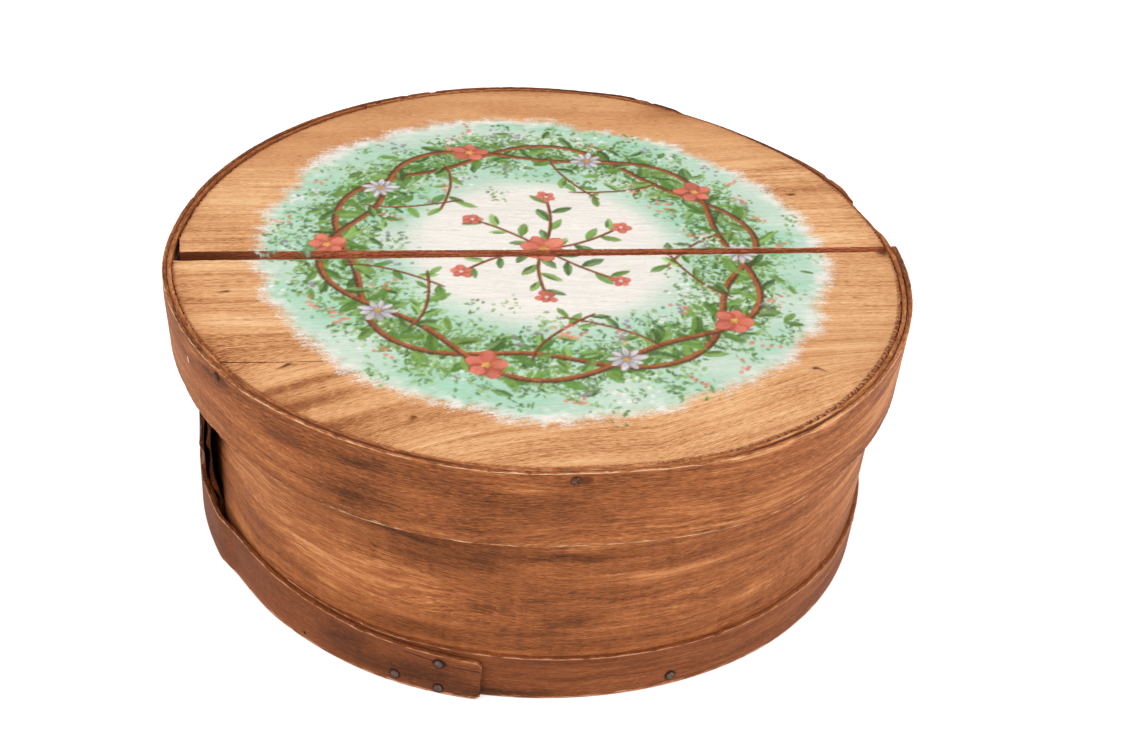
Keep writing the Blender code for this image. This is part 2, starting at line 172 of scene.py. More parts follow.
# Sizes that follow
LID_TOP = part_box("lid_board_front")[1].z
SIDE_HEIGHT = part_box("side_inner_ply")[1].z
RIM_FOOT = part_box("lid_rim_inner_ply")[0].z
RIM_OUTER_FACE = LID_RADIUS - RIM_PLY
RIM_INNER_FACE = RIM_OUTER_FACE - SEAT_GAP - RIM_PLY
LID_BOARD_RADIUS = RIM_INNER_FACE - SEAT_GAP
SIDE_OUTER_PLY_FACE = RIM_INNER_FACE - LID_ROOM - SIDE_PLY
SIDE_INNER_PLY_FACE = SIDE_OUTER_PLY_FACE - SEAT_GAP - SIDE_PLY
BOTTOM_RADIUS = SIDE_INNER_PLY_FACE - SEAT_GAP
HOOP_INNER = SIDE_OUTER_PLY_FACE + SIDE_PLY + SEAT_GAP
HOOP_RADIUS = HOOP_INNER + HOOP_PLY
SIDE_LAP_LIFT = 2 * (SIDE_PLY + SEAT_GAP) - LAP_DIP
HOOP_CREST = HOOP_HEIGHT * max(share for angle, share in HOOP_TOP_SHARES) + SEAT_GAP
SIDE_ROWS = (0, *(HOOP_CREST + (RIM_FOOT - HOOP_CREST) * share for share in OPEN_ROW_SHARES),
             SIDE_HEIGHT)


# Noise and bends, all worked out for whole arrays at once

def lattice(column, row, seed):
    """Repeatable values from 0 to 1 at whole places."""
    mixed = (column * 374761393 + row * 668265263 + seed * 974634777) & 0xFFFFFFFF
    mixed = ((mixed ^ (mixed >> 13)) * 1274126177) & 0xFFFFFFFF
    return ((mixed ^ (mixed >> 16)) & 0xFFFF) / 65535


def rough(across, along, seed=0):
    """Smooth noise from -1 to 1 whose bumps are about one unit wide."""
    across, along = np.broadcast_arrays(np.asarray(across, float), np.asarray(along, float))
    column, row = np.floor(across).astype(np.int64), np.floor(along).astype(np.int64)
    u, v = across - column, along - row
    u, v = u * u * (3 - 2 * u), v * v * (3 - 2 * v)
    low = lattice(column, row, seed) * (1 - u) + lattice(column + 1, row, seed) * u
    high = lattice(column, row + 1, seed) * (1 - u) + lattice(column + 1, row + 1, seed) * u
    return (low * (1 - v) + high * v) * 2 - 1


def ease(value, first, last):
    """A smooth rise from 0 at the first value to 1 at the last."""
    part = np.clip((value - first) / (last - first), 0, 1)
    return part * part * (3 - 2 * part)


def read_table(table, angle, soften=2.5):
    """The value of a table at an angle, with its corners softened."""
    places, values = zip(*table)
    shifts = (-soften, -soften / 2, 0, soften / 2, soften)
    return sum(np.interp(angle + shift, places, values) for shift in shifts) / len(shifts)


def polar(radius, turn):
    """The point at a radius and a turn in radians, or one row for each."""
    return np.stack((radius * np.cos(turn), radius * np.sin(turn)), -1)


def along_rim(angle):
    """How far an angle lies along a circle of the lid's radius."""
    return np.radians(angle) * LID_RADIUS


def angle_of(points):
    """The angle of each point, from 0 to 360."""
    return np.degrees(np.arctan2(points[:, 1], points[:, 0])) % 360


def blob(across, along, middle, level, wide, tall):
    """A soft spot: 1 in its middle, fading out past its half sizes."""
    return np.exp(-((across - middle) / wide) ** 2 - ((along - level) / tall) ** 2)


def swell(angle):
    """How far the box stands out of its circle at an angle."""
    turn = np.radians(angle)
    return LID_RADIUS * sum(cosine * np.cos(waves * turn) + sine * np.sin(waves * turn)
                            for waves, cosine, sine in OUT_OF_ROUND_SHARES)


def lid_bend(angle):
    """The same for the lid, with its own dent and bulge."""
    return swell(angle) + LID_DENT * read_table(LID_DENT_SHARES, angle % 360)


def box_bend(angle):
    """The same for the box, with its own flats and bulges."""
    return swell(angle) + BOX_BULGE * read_table(BOX_BULGE_SHARES, angle % 360)


def lap_dip(angle):
    """How far the beginnings of the side's plies are pressed inwards under their lap."""
    around = angle % 360
    return -LAP_DIP * ease(around, *SIDE_LAP_RISE) * (1 - ease(around, *SIDE_DIP_OUT))


def side_offset(angle):
    """The side's offset along its wrap: dipped where it begins, lifted where it laps itself."""
    lifted = SIDE_LAP_LIFT * ease(angle - 360, *SIDE_LAP_RISE)
    return np.where(angle < SIDE_LAP_START + 180, lap_dip(angle), lifted)


def hoop_ply(angle):
    """The base hoop's thickness along its wrap, skived thin where it begins."""
    skived = 1 - ease(angle, HOOP_START, HOOP_START + HOOP_SKIVE_TURN)
    return HOOP_PLY * (1 - (1 - HOOP_SKIVE_SHARE) * skived)


def hoop_offset(angle):
    """The base hoop's offset along its wrap: over the side's lap, then over its own beginning."""
    over_side = ease(angle - 360, *SIDE_LAP_RISE) * (1 - ease(angle - 360, *HOOP_FALL))
    over_self = ease(angle - 360, *HOOP_RISE) * (hoop_ply(angle - 360) + SEAT_GAP)
    sprung = ease(angle - 360, HOOP_START, HOOP_END + 12)
    return np.maximum(SIDE_LAP_LIFT * over_side, over_self) + HOOP_SPRING * sprung


def rim_offset(angle):
    """How far the lid rim's outer ply springs off at its two ends."""
    late = ease(angle, RIM_SPRING_START, 2 * RIM_OUTER_END - RIM_SPRING_START) * 2
    return RIM_SPRING * late + STUB_SPRING * read_table(STUB_SPRING_SHARES, angle, 1)


# Meshes

def write_points(mesh, points):
    """Give a mesh its vertex positions from an array."""
    mesh.vertices.foreach_set("co", np.ascontiguousarray(points, np.float32).ravel())
    mesh.update()


def read_points(mesh):
    """A mesh's vertex positions as an array."""
    points = np.empty(len(mesh.vertices) * 3, np.float32)
    mesh.vertices.foreach_get("co", points)
    return points.reshape(-1, 3).astype(float)


def write_values(mesh, name, values):
    """Store one number, vector or colour for each vertex."""
    values = np.asarray(values, np.float32)
    kind, field = {1: ('FLOAT', "value"), 3: ('FLOAT_VECTOR', "vector"),
                   4: ('FLOAT_COLOR', "color")}[1 if values.ndim == 1 else values.shape[1]]
    layer = mesh.attributes.get(name) or mesh.attributes.new(name, kind, 'POINT')
    layer.data.foreach_set(field, np.ascontiguousarray(values).ravel())


def grid_mesh(name, columns, rows, size=1):
    """A flat square grid around the origin."""
    work = bmesh.new()
    bmesh.ops.create_grid(work, x_segments=columns, y_segments=rows, size=size)
    mesh = bpy.data.meshes.new(name)
    work.to_mesh(mesh)
    work.free()
    return mesh


def close_mesh(work, mesh):
    """Turn the faces outwards and store them in a mesh."""
    bmesh.ops.recalc_face_normals(work, faces=work.faces)
    work.to_mesh(mesh)
    work.free()


def add_object(name, data):
    """Put an object into the scene."""
    made = bpy.data.objects.new(name, data)
    bpy.context.scene.collection.objects.link(made)
    return made


def add_piece(name, mesh, body, node, material, crease=40):
    """Show a mesh as a piece that rides on a body and stands for a solid."""
    mesh.shade_smooth()
    mesh.set_sharp_from_angle(angle=math.radians(crease))
    mesh.materials.append(material)
    piece = add_object(name, mesh)
    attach(piece, body)
    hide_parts(node)


def ply_section(rows, edge, wear, scuff):
    """The section of a ply with softly worn edges, as rows of share, inset, depth and wear.

    The wear grows towards the top's corners, and scuffs, given as strength and reach, fade out
    upwards from the foot.
    """
    near = (0.015, 0.04, 0.08)
    steps = [*near, *np.linspace(0.14, 0.86, rows), *(1 - share for share in reversed(near))]
    plain = [*near[1:], *np.linspace(0.2, 0.8, 5), 1 - near[2], 1 - near[1]]
    outer = [(0, -edge, 1, 1.2), *((share, 0, 1, scuff[0] * max(1 - share / scuff[1], 0))
                                   for share in steps), (1, edge, 1, wear)]
    inner = [(1, edge * 0.4, 0, wear * 0.4), *((share, 0, 0, 0) for share in reversed(plain)),
             (0, -edge, 0, wear * 0.4)]
    top = [(1, edge * 0.2, 0.84, wear * 0.6), (1, 0, 0.5, wear * 0.2),
           (1, edge * 0.2, 0.16, wear * 0.4)]
    foot = [(0, -edge * 0.2, 0.16, 0.3), (0, 0, 0.5, 0.5), (0, -edge * 0.2, 0.84, 1)]
    return np.array([*outer, *top, *inner, *foot])


def bend_ply(name, columns, rows, edge, wear, scuff, place, shaded_depth=-1):
    """A flat grid rolled into a closed ply and bent: place() gives angle, radius and height.

    Painted shade darkens the top's corner at the given depth, for the crevice between two plies.
    """
    section = ply_section(rows, edge, wear, scuff)
    ring = len(section)
    mesh = grid_mesh(name, columns, ring)
    flat = (read_points(mesh) + 1) / 2
    share, inset, depth, worn = section[np.rint(flat[:, 1] * ring).astype(int) % ring].T
    angle, radius, height = place(flat[:, 0], share, inset, depth)
    write_points(mesh, np.column_stack((polar(radius, np.radians(angle)), height)))
    write_values(mesh, "grain", np.column_stack((along_rim(angle), height, radius)))
    around = angle % 360
    patchy = 1 + 0.2 * rough(angle / 2.3, share * 2, 17) + 0.15 * rough(angle / 9, share, 18)
    scuffed = 0.35 + 0.65 * ease(around, *FOOT_SCUFF_RISE) * (1 - 0.6 * ease(around, *FOOT_SCUFF_FALL))
    write_values(mesh, "wear", worn * patchy * np.where(share > 0, 1, scuffed))
    # Painted shade: the top corners beside the gap between the rim's plies are darkened by angle
    crevice_shade = (share == 1) & (np.abs(depth - shaded_depth) < 0.2)
    write_values(mesh, "marks_and_shade", np.where(crevice_shade, read_table(CREVICE_SHADE_SHARES, around), 0))
    work = bmesh.new()
    work.from_mesh(mesh)
    bmesh.ops.remove_doubles(work, verts=work.verts, dist=1e-7)
    bmesh.ops.holes_fill(work, edges=[edge for edge in work.edges if edge.is_boundary], sides=0)
    close_mesh(work, mesh)
    return mesh


def nicks(angle, seed, depth, every=9):
    """Small losses along a ply's edge: a steady fretting and a few deeper chips."""
    along = along_rim(angle) * 1000
    fret = 0.5 + 0.3 * rough(along / 6.3, 0, seed) + 0.2 * rough(along / 1.7, 3, seed)
    chip = ease(rough(along / every, 7, seed), 0.55, 0.9)
    return depth * (0.7 * fret + 1.8 * chip)


# Materials

def paint_colour(shown):
    """A display colour of 0 to 255 as the linear colour that the shaders use."""
    shares = np.array(shown) / 255
    linear = np.where(shares <= 0.04045, shares / 12.92, ((shares + 0.055) / 1.055) ** 2.4)
    return (*linear.tolist(), 1)


class Value:
    """What a node puts out. Arithmetic on it adds nodes."""

    def __init__(self, nodes, socket):
        self.nodes, self.socket = nodes, socket

    def math(self, operation, *others):
        """The outcome of a maths node on this and other values."""
        return self.nodes.add("ShaderNodeMath", dict(enumerate((self, *others))),
                              operation=operation)

    def __add__(self, other):
        return self.math('ADD', other)

    def __sub__(self, other):
        return self.math('SUBTRACT', other)

    def __rsub__(self, other):
        return self * -1 + other

    def __mul__(self, other):
        return self.math('MULTIPLY', other)

    def fade(self, low, high, to_low=0, to_high=1):
        """A smooth step from one value to another between two limits."""
        inputs = {0: self, 1: low, 2: high, 3: to_low, 4: to_high}
        return self.nodes.add("ShaderNodeMapRange", inputs, interpolation_type='SMOOTHSTEP')


class Nodes:
    """The node tree of a material or a world, with a short call for each kind of node in use."""

    def __init__(self, owner, shader="Principled BSDF"):
        owner.use_nodes = True
        self.owner, self.tree = owner, owner.node_tree
        self.shader = self.tree.nodes[shader]

    def fill(self, item, inputs):
        """Set the inputs of a node, or link them to values."""
        for key, value in inputs.items():
            if isinstance(value, Value):
                self.tree.links.new(value.socket, item.inputs[key])
            else:
                item.inputs[key].default_value = value

    def add(self, kind, inputs, output=0, **settings):
        """One output of a new node."""
        item = self.tree.nodes.new(kind)
        for key, value in settings.items():
            setattr(item, key, value)
        self.fill(item, inputs)
        return Value(self, item.outputs[output])

    def attribute(self, name, output="Fac"):
        """What is written on the mesh under a name."""
        return self.add("ShaderNodeAttribute", {}, output, attribute_name=name)

    def split(self, vector):
        """The three parts of a vector."""
        return [self.add("ShaderNodeSeparateXYZ", {0: vector}, axis) for axis in range(3)]

    def vector(self, operation, first, second):
        """The outcome of a vector maths node."""
        return self.add("ShaderNodeVectorMath", {0: first, 1: second}, operation=operation)

    def reach(self, grain, along, up, long, tall):
        """The distance from a middle: 1 on the ellipse with these half sizes."""
        aside = self.vector('SUBTRACT', grain, (along, up, 0))
        aside = self.vector('MULTIPLY', aside, (1 / long, 1 / tall, 0))
        return self.add("ShaderNodeVectorMath", {0: aside}, "Value", operation='LENGTH')

    def noise(self, vector, stretch, detail=3, roughness=0.5):
        """Noise from 0 to 1 with so many bumps to the metre each way."""
        inputs = {"Vector": self.vector('MULTIPLY', vector, stretch), "Scale": 1,
                  "Detail": detail, "Roughness": roughness}
        return self.add("ShaderNodeTexNoise", inputs)

    def mix(self, share, first, second, blend='MIX'):
        """The second colour over the first; it may be a display colour."""
        second = second if isinstance(second, Value) else paint_colour(second)
        return self.add("ShaderNodeMix", {0: share, 6: first, 7: second}, 2, data_type='RGBA',
                        blend_type=blend)

    def ramp(self, value, colours, places=None):
        """Display colours along a value, evenly spaced where no places are given."""
        found = self.add("ShaderNodeValToRGB", {0: value})
        elements = found.socket.node.color_ramp.elements
        while len(elements) < len(colours):
            elements.new(1)
        places = np.linspace(0, 1, len(colours)) if places is None else places
        for element, place, colour in zip(elements, places, colours):
            element.position = place
            element.color = paint_colour(colour)
        return found

    def bump(self, height, strength=1):
        """Shading that follows a height."""
        return self.add("ShaderNodeBump", {"Height": height, "Distance": BUMP_DEPTH,
                                           "Strength": strength})


def wood(name, stops, worn, seed, spots=(), cracks=(), chips=(), checks=0.1, pores=0.5,
         fines=1.1, spread=0.72, torn=0.5, specks=0.35, relief=0.6, curl=1, painted=False):
    """Worn wood whose grain runs along the first part of the grain attribute.

    Spots are dark stains round nails, cracks dark lines and chips small pale losses. The larger
    torn is, the more its lighter and darker areas break up into single fibres, and the smaller
    curl is, the longer and straighter they run. Painted wood has sawn edges too.
    """
    nodes = Nodes(bpy.data.materials.new(name))
    grain = nodes.attribute("grain", "Vector")
    place = nodes.vector('ADD', grain, (seed, seed * 0.3, 0))
    bent = (nodes.noise(place, (7, 24, 24), 2) - 0.5) * (0.016 * curl)
    place = nodes.vector('ADD', place, nodes.add("ShaderNodeCombineXYZ", {"Y": bent}))
    broad = nodes.noise(place, (5, 52, 20))
    bands = nodes.noise(place, (15 * curl, 280, 60), 4, 0.6)
    fibre = nodes.noise(place, (70 * curl, 1700, 300), 3, 0.65)
    fine = nodes.noise(place, (250, 2900, 900), 2, 0.7)
    check = nodes.noise(place, (190, 24, 10))
    pore = nodes.noise(place, (170, 2100, 400), 1).fade(0.62, 0.70)
    glint = nodes.noise(place, (210, 2500, 700), 1).fade(0.64, 0.74)
    patchy = nodes.noise(grain, (22, 90, 40), 2).fade(0.36, 0.64)
    chafed = nodes.noise(grain, (150, 900, 900), 4, 0.7) - 0.5
    speck = nodes.noise(grain, (380, 1300, 900), 2).fade(0.70, 0.76)

    # Streaks, and the lighter and darker areas that are written on the mesh, painted shade among them
    layers = ((broad, 0.6), (bands, 0.6), (fibre, 0.9), (fine, fines), (check, checks))
    total = -sum(weight for noise, weight in layers) / 2
    for noise, weight in layers:
        total = noise * weight + total
    tone = nodes.attribute("tone")
    total = total * tone.fade(0.8, 2.4, 1, 0.5) * nodes.attribute("calm").fade(0, 1, 1, 0.45)
    streaked = (bands * (2 - torn) + fibre * torn).fade(0.75, 1.25, 0.05, 0.18)
    colour = nodes.ramp((tone * streaked + total).fade(-spread, spread), stops)

    # Pores, glints, wear and losses
    colour = nodes.mix(pore * patchy * pores, colour, stops[0])
    colour = nodes.mix((1 - patchy) * glint * 0.22, colour, stops[-1])
    wear = (chafed * 2.2 + nodes.attribute("wear")).fade(0.6, 1.15)
    colour = nodes.mix(wear * 0.85, colour, worn)
    colour = nodes.mix(speck * specks, colour, worn)
    for chip in chips:
        ring = chafed * 1.3 + nodes.reach(grain, *chip)
        colour = nodes.mix(ring.fade(0.6, 1.1, 0.9, 0), colour, CHIP)

    # Stains round nails, cracks, and the marks on the mesh: knots, and painted shade in crevices and
    # seams
    marks_and_shade = nodes.attribute("marks_and_shade")
    for along, up, size, tail, strength in spots:
        flow = nodes.reach(grain, along + tail * size, up, size * max(tail, 1), size / 1.1)
        ring = nodes.reach(grain, along, up, size, size).math('MINIMUM', flow * 0.9 + 0.25)
        ring = chafed * 0.9 + ring
        marks_and_shade = marks_and_shade.math('MAXIMUM', ring.fade(0.75, 1.35, strength, 0))
    along, up = nodes.split(grain)[:2]
    for first, low, last, high, width in cracks:
        slope, reach = (high - low) / (last - first), abs(last - first) / 2
        wave = (bands - 0.5) * (width * 5) + (along - first) * slope + low
        gap = (up - wave).math('ABSOLUTE').fade(width * 0.4, width, 0.9, 0)
        off = (along - (first + last) / 2).math('ABSOLUTE').fade(reach * 0.75, reach, 1, 0)
        marks_and_shade = marks_and_shade.math('MAXIMUM', off * gap)

    if painted:
        colour = sawn_edges(nodes, grain, fibre, colour)
    # Darker by the marks: stains and knots, and painted shade in crevices and seams
    colour = nodes.mix(marks_and_shade.fade(0, 0.55, 0, 0.9), colour, STAIN_AND_SHADE)
    colour = nodes.mix(marks_and_shade.fade(0.35, 1), colour, DIRT_AND_SHADE)
    if painted:
        colour = painted_over(nodes, grain, fibre, fine, pore * patchy, colour)
    height = fibre * 0.7 + bands * 0.6 + fine * 0.4 - pore * 0.4
    nodes.fill(nodes.shader, {"Base Color": colour, "Roughness": fibre.fade(0.3, 0.7, 0.56, 0.74),
                              "Specular IOR Level": 0.12, "Normal": nodes.bump(height, relief)})
    return nodes.owner


def sawn_edges(nodes, grain, fibre, colour):
    """Sawn walls below a board's top, and torn fibres along its round edge."""
    cut = (nodes.attribute("cut") * (fibre + 0.45)).fade(0.2, 0.95)
    sawing = nodes.noise(grain, (36, 0, 700), 3, 0.7) + nodes.noise(grain, (260, 0, 1600), 2, 0.6)
    sawing = nodes.ramp(sawing.fade(0.7, 1.3), SAWN_STOPS, (0, 0.45, 1))
    colour = nodes.mix(cut * 0.92, colour, sawing)
    rim = nodes.attribute("rim", "Vector")
    edge, strength = nodes.split(rim)[1:]
    depth = edge.math('DIVIDE', strength)
    ticks = nodes.noise(rim, (620, 130, 0), 2, 0.7).fade(0.43, 0.54)
    ticks = ticks * depth.fade(0.0008, 0.0030, 0.85, 0)
    stitch = nodes.noise(rim, (560, 420, 0), 2, 0.6).fade(0.45, 0.56, 0.35, 1)
    band = depth.fade(0.0020, 0.0032, 1, 0) * stitch * strength.fade(0.7, 1.2, 0.45, 1)
    return nodes.mix(ticks.math('MAXIMUM', band), colour, TORN)


def painted_over(nodes, grain, fibre, fine, pores, colour):
    """Thin paint from the paint attribute, broken up by the fibres and pores below it."""
    thin = (nodes.noise(grain, (700, 1300, 0), 2, 0.7) - 0.5) * 1.5 + (fibre - 0.5) * 0.7
    cover = nodes.attribute("paint", "Alpha")
    cover = (thin * cover.fade(0, 0.3) + cover).fade(0.12, 0.86)
    shade = (fibre + fine).fade(0.7, 1.3, 0.88, 1.06)
    shade = nodes.add("ShaderNodeCombineColor", dict.fromkeys(range(3), shade))
    tint = nodes.mix(1, nodes.attribute("paint", "Color"), shade, 'MULTIPLY')
    return nodes.mix(cover * (0.97 - pores * 0.35), colour, tint)


def nail_iron(name, tones, shine):
    """Dull, rusted nail heads, darker in their dents; the shine is a share from 0 to 1."""
    nodes = Nodes(bpy.data.materials.new(name))
    where = nodes.add("ShaderNodeTexCoord", {}, "Object")
    rust = nodes.noise(where, (900, 900, 900), 4, 0.6)
    fine = nodes.noise(where, (2600, 2600, 2600), 2)
    nodes.fill(nodes.shader, {"Base Color": nodes.ramp(rust, tones, (0.3, 0.5, 0.7)),
                              "Roughness": fine.fade(0.3, 0.7, 0.45, 0.75),
                              "Metallic": 0.45 * shine, "Specular IOR Level": 0.1 + 0.4 * shine,
                              "Normal": nodes.bump(rust + fine)})
    return nodes.owner


BENT_STOPS = ((72, 37, 18), (112, 62, 32), (148, 84, 45), (170, 99, 55), (195, 122, 70),
              (224, 158, 104))
BOARD_STOPS = ((132, 72, 38), (182, 118, 70), (219, 156, 104), (234, 175, 121), (245, 194, 141),
               (250, 214, 166))
INSIDE_STOPS = ((104, 62, 38), (150, 98, 60), (180, 124, 80), (198, 144, 98), (216, 166, 118))
SAWN_STOPS = ((112, 52, 32), (182, 92, 58), (232, 142, 98))
WORN_EDGE, WORN_HOOP, WORN_BOARD = (236, 190, 146), (216, 158, 120), (246, 206, 158)
# The stain and dirt colours also darken the painted shade written in the marks
CHIP, STAIN_AND_SHADE, DIRT_AND_SHADE, TORN = (238, 214, 188), (112, 58, 30), (50, 25, 15), (118, 54, 30)
HOOP_SHADE = (0.84, 0.80, 0.78)
BUMP_DEPTH = 0.0003


def add_patches(mesh, base, patches, lenses=()):
    """Write the tones of lighter and darker patches on a bent ply; some darker ones are painted shade.

    A lens spreads the grain apart in one area, as where a blade leaves a growth ring.
    """
    points = read_points(mesh)
    grain = np.empty(len(points) * 3, np.float32)
    mesh.attributes["grain"].data.foreach_get("vector", grain)
    grain = grain.reshape(-1, 3)
    angle, height = angle_of(points), points[:, 2]
    swayed = angle + 2.5 * rough(height * 300, angle / 9, 5)
    level_swayed = height + 0.0022 * rough(angle / 5, height * 120, 6)
    tone = base + 0.5 * rough(angle / 14, height * 60, 7)
    for middle, level, wide, tall, strength in patches:
        aside = (swayed - middle + 180) % 360 - 180
        tone += strength * blob(aside, level_swayed, 0, level, wide, tall)
    write_values(mesh, "tone", tone)
    for middle, level, wide, tall, strength in lenses:
        aside = (angle - middle + 180) % 360 - 180
        grain[:, 1] -= strength * (height - level) * blob(aside, height, 0, level, wide, tall)
    write_values(mesh, "grain", grain)


# The lid's rim

# Patches here and below are angle, height, half sizes in degrees and metres, and tone
BRIGHT_TOP = (316, 0.1528, 26, 0.0014, 3.2)
# The dark patch along the rim's top at the back, round 135 degrees, is painted shade
RIM_TONES_AND_SHADE = (
    BRIGHT_TOP, (248, 0.1528, 16, 0.0012, 3), (363, 0.1530, 9, 0.0018, -2.5),
    (53, 0.1528, 11, 0.0022, -5), (135, 0.1530, 40, 0.0020, -2.5), (78, 0.1545, 14, 0.0030, -2.5),
    (272, 0.128, 14, 0.022, -0.8), (248, 0.118, 9, 0.008, -0.9), (331, 0.128, 18, 0.012, 1.6),
    (345, 0.140, 12, 0.008, 1.2), (221, 0.1455, 3, 0.0025, -3), (215, 0.140, 8, 0.004, -1),
    (237, 0.139, 5, 0.005, -2.2), (246.5, 0.142, 4, 0.003, -2.6), (246.5, 0.121, 4, 0.005, -2.0),
    (243, 0.135, 10, 0.012, -0.5), (229, 0.118, 9, 0.005, 0.9), (266, 0.130, 9, 0.012, -0.5),
    (262, 0.146, 8, 0.003, 0.6), (292, 0.112, 22, 0.003, 1.4), (299, 0.147, 5, 0.003, 1.4),
    (289, 0.121, 8, 0.008, 1.8), (304, 0.121, 7, 0.006, 2.0), (270, 0.142, 3.5, 0.004, 2.2),
    (256, 0.143, 7, 0.005, -1.2), (249, 0.130, 6, 0.005, -1.8), (264, 0.118, 4, 0.004, -2.0),
    (216, 0.146, 4, 0.005, 1.8), (335, 0.141, 8, 0.008, 1.0), (318, 0.125, 14, 0.012, 0.6),
    (331, 0.140, 3, 0.003, -2.4))
RIM_CHIP = (213.5, 0.1379, 0.0011, 0.0024)


def rim_piece(name, node, first, last, face, offset, thickness, slant, seed, wear, shaded_depth,
              patches, spots=(), chips=()):
    """One ply of the lid's rim, fretted along both edges."""
    def place(along, share, inset, depth):
        angle = first + (last - first) * along
        top = LID_TOP + RIM_PROUD * read_table(RIM_PROUD_SHARES, angle % 360, 0.2)
        top = top - nicks(angle, seed, 0.00035)
        foot = RIM_FOOT + nicks(angle, seed + 1, 0.00035, 14)
        height = foot + (top - foot) * share - inset
        tucked = np.clip((SIDE_HEIGHT - height) / (SIDE_HEIGHT - RIM_FOOT), 0, 1)
        out = offset(angle) * (0.45 + 0.55 * depth) + RIM_PLY * depth
        radius = face + lid_bend(angle) + out * thickness(angle) - RIM_INSET
        radius = radius - RIM_TUCK * read_table(RIM_TUCK_SHARES, angle % 360) * tucked
        worn = 0.00012 * rough(angle * 2.3, height * 900, seed) * (np.abs(share - 0.5) > 0.45)
        lean = slant * (LID_TOP - height) / LID_RIM_DEPTH * np.clip(1 - (angle - first) / 5, 0, 1)
        return angle - lean, radius + worn, height

    mesh = bend_ply(name, round((last - first) * 4), 16, PLY_EDGE, wear, (0.9, 0.08), place, shaded_depth)
    write_points(mesh, read_points(mesh) + (*LID_SHIFT, 0))
    add_patches(mesh, 0, patches)
    material = wood(name, BENT_STOPS, WORN_EDGE, seed, spots, chips=chips, pores=0.7, spread=0.57)
    add_piece(name, mesh, "lid", node, material)


def inner_bulge(angle):
    """How far the inner ply swells towards the outer ply's free end."""
    return RIM_BULGE * read_table(RIM_BULGE_SHARES, angle % 360, 1)


def outer_taper(angle):
    """How far the outer ply stands out, as a share: it is shaved to a point behind."""
    return 0.1 + 0.9 * ease(angle, RIM_OUTER_START - 2, RIM_OUTER_START + 6)


def inner_taper(angle):
    """The same for the inner ply, split thin where the outer ply leaves it bare."""
    around = angle - 360
    bare = ease(around, RIM_OUTER_END - 356.5, RIM_OUTER_END - 353.5)
    return 1 - 0.6 * bare * (1 - ease(around, RIM_OUTER_START - 4, RIM_OUTER_START + 6))


def build_rim():
    """Both plies of the lid's rim."""
    spots = [(along_rim(angle), LID_TOP - LID_NAIL_DEPTH, 0.0027, 1.6, 0.55)
             for angle in LID_NAIL_ANGLES]
    chips = ((along_rim(RIM_CHIP[0]), *RIM_CHIP[1:]),)
    rim_piece("lid_rim_outer_worn", "lid_rim_outer_ply", RIM_OUTER_START, RIM_OUTER_END,
              RIM_OUTER_FACE, rim_offset, outer_taper, RIM_SLANT, 3, 1.15, 0, RIM_TONES_AND_SHADE,
              spots, chips)
    rim_piece("lid_rim_inner_worn", "lid_rim_inner_ply", RIM_INNER_START, RIM_INNER_END,
              RIM_INNER_FACE, inner_bulge, inner_taper, 0, 11, 0.95, 1, (BRIGHT_TOP,))


# The box's side and its base hoop

# Painted shade down the splayed ends of the side's plies at the lap, on both plies
SHADED_LAP_END = (206, 0.075, 4.5, 0.15, -4.5)
# The darker patches just under the lid's rim and just above the hoop's top are painted shade
SIDE_TONES_AND_SHADE = (
    SHADED_LAP_END, (244, 0.064, 15, 0.012, 2.1), (256, 0.061, 8, 0.005, 1.3),
    (224, 0.068, 10, 0.014, 1.0), (214, 0.070, 7, 0.03, 0.6), (222, 0.085, 9, 0.02, 1.0),
    (340, 0.075, 14, 0.020, 0.9), (262, 0.100, 16, 0.016, -1.1), (268, 0.072, 11, 0.016, -0.7),
    (262, 0.086, 8, 0.006, -3.0), (251, 0.096, 8, 0.004, -3.0), (274, 0.076, 8, 0.006, -0.7),
    (234, 0.043, 5, 0.005, -1.2), (240, 0.044, 4, 0.004, 2.4), (234, 0.064, 5, 0.012, 1.4),
    (254, 0.036, 10, 0.005, -2.4), (270, 0.033, 9, 0.004, -1.3), (270, 0.044, 6, 0.004, -1.8),
    (262, 0.059, 5, 0.004, -2.6), (252, 0.085, 4, 0.004, -2.0), (291, 0.036, 5, 0.004, -1.6),
    (322, 0.036, 9, 0.005, 2.0), (318, 0.086, 5, 0.004, -1.6), (275, 0.092, 7, 0.0025, -3.6),
    (288, 0.0835, 8, 0.0035, -2.2), (280, 0.100, 6, 0.003, 1.6), (297, 0.086, 6, 0.004, -1.8),
    (279, 0.051, 5, 0.004, -3.4), (309, 0.067, 6, 0.004, 2.6), (288, 0.066, 7, 0.0025, -1.8),
    (297, 0.057, 8, 0.0025, -1.6), (286, 0.080, 8, 0.005, 0.9), (304, 0.048, 14, 0.006, 1.6),
    (299, 0.077, 14, 0.004, 1.5), (312, 0.066, 9, 0.003, -1.2), (320, 0.052, 8, 0.003, -1.0),
    (326, 0.080, 14, 0.012, 1.2), (332, 0.055, 10, 0.010, 0.9))
SIDE_LENSES = ((246, 0.065, 16, 0.024, 0.55), (262, 0.052, 10, 0.012, 0.4),
               (300, 0.060, 14, 0.012, 0.5), (222, 0.07, 7, 0.03, 0.4))
HOOP_PATCHES = (
    (262, HOOP_HEIGHT, 4, 0.004, 2.5), (322, HOOP_HEIGHT * 0.99, 32, 0.0012, 3),
    (321, 0.020, 18, 0.008, 2.0), (269, 0.004, 8, 0.0025, -3.2), (243, 0.022, 6, 0.005, -1.4),
    (212, 0.015, 11, 0.014, -1.5), (230, 0.015, 9, 0.010, -0.6), (243, 0.016, 5, 0.008, -2.4),
    (250, 0.010, 6, 0.007, -2.2), (257, 0.012, 6, 0.012, -2.2), (261, 0.006, 4, 0.006, -1.4),
    (300, 0.012, 25, 0.010, 0.5))


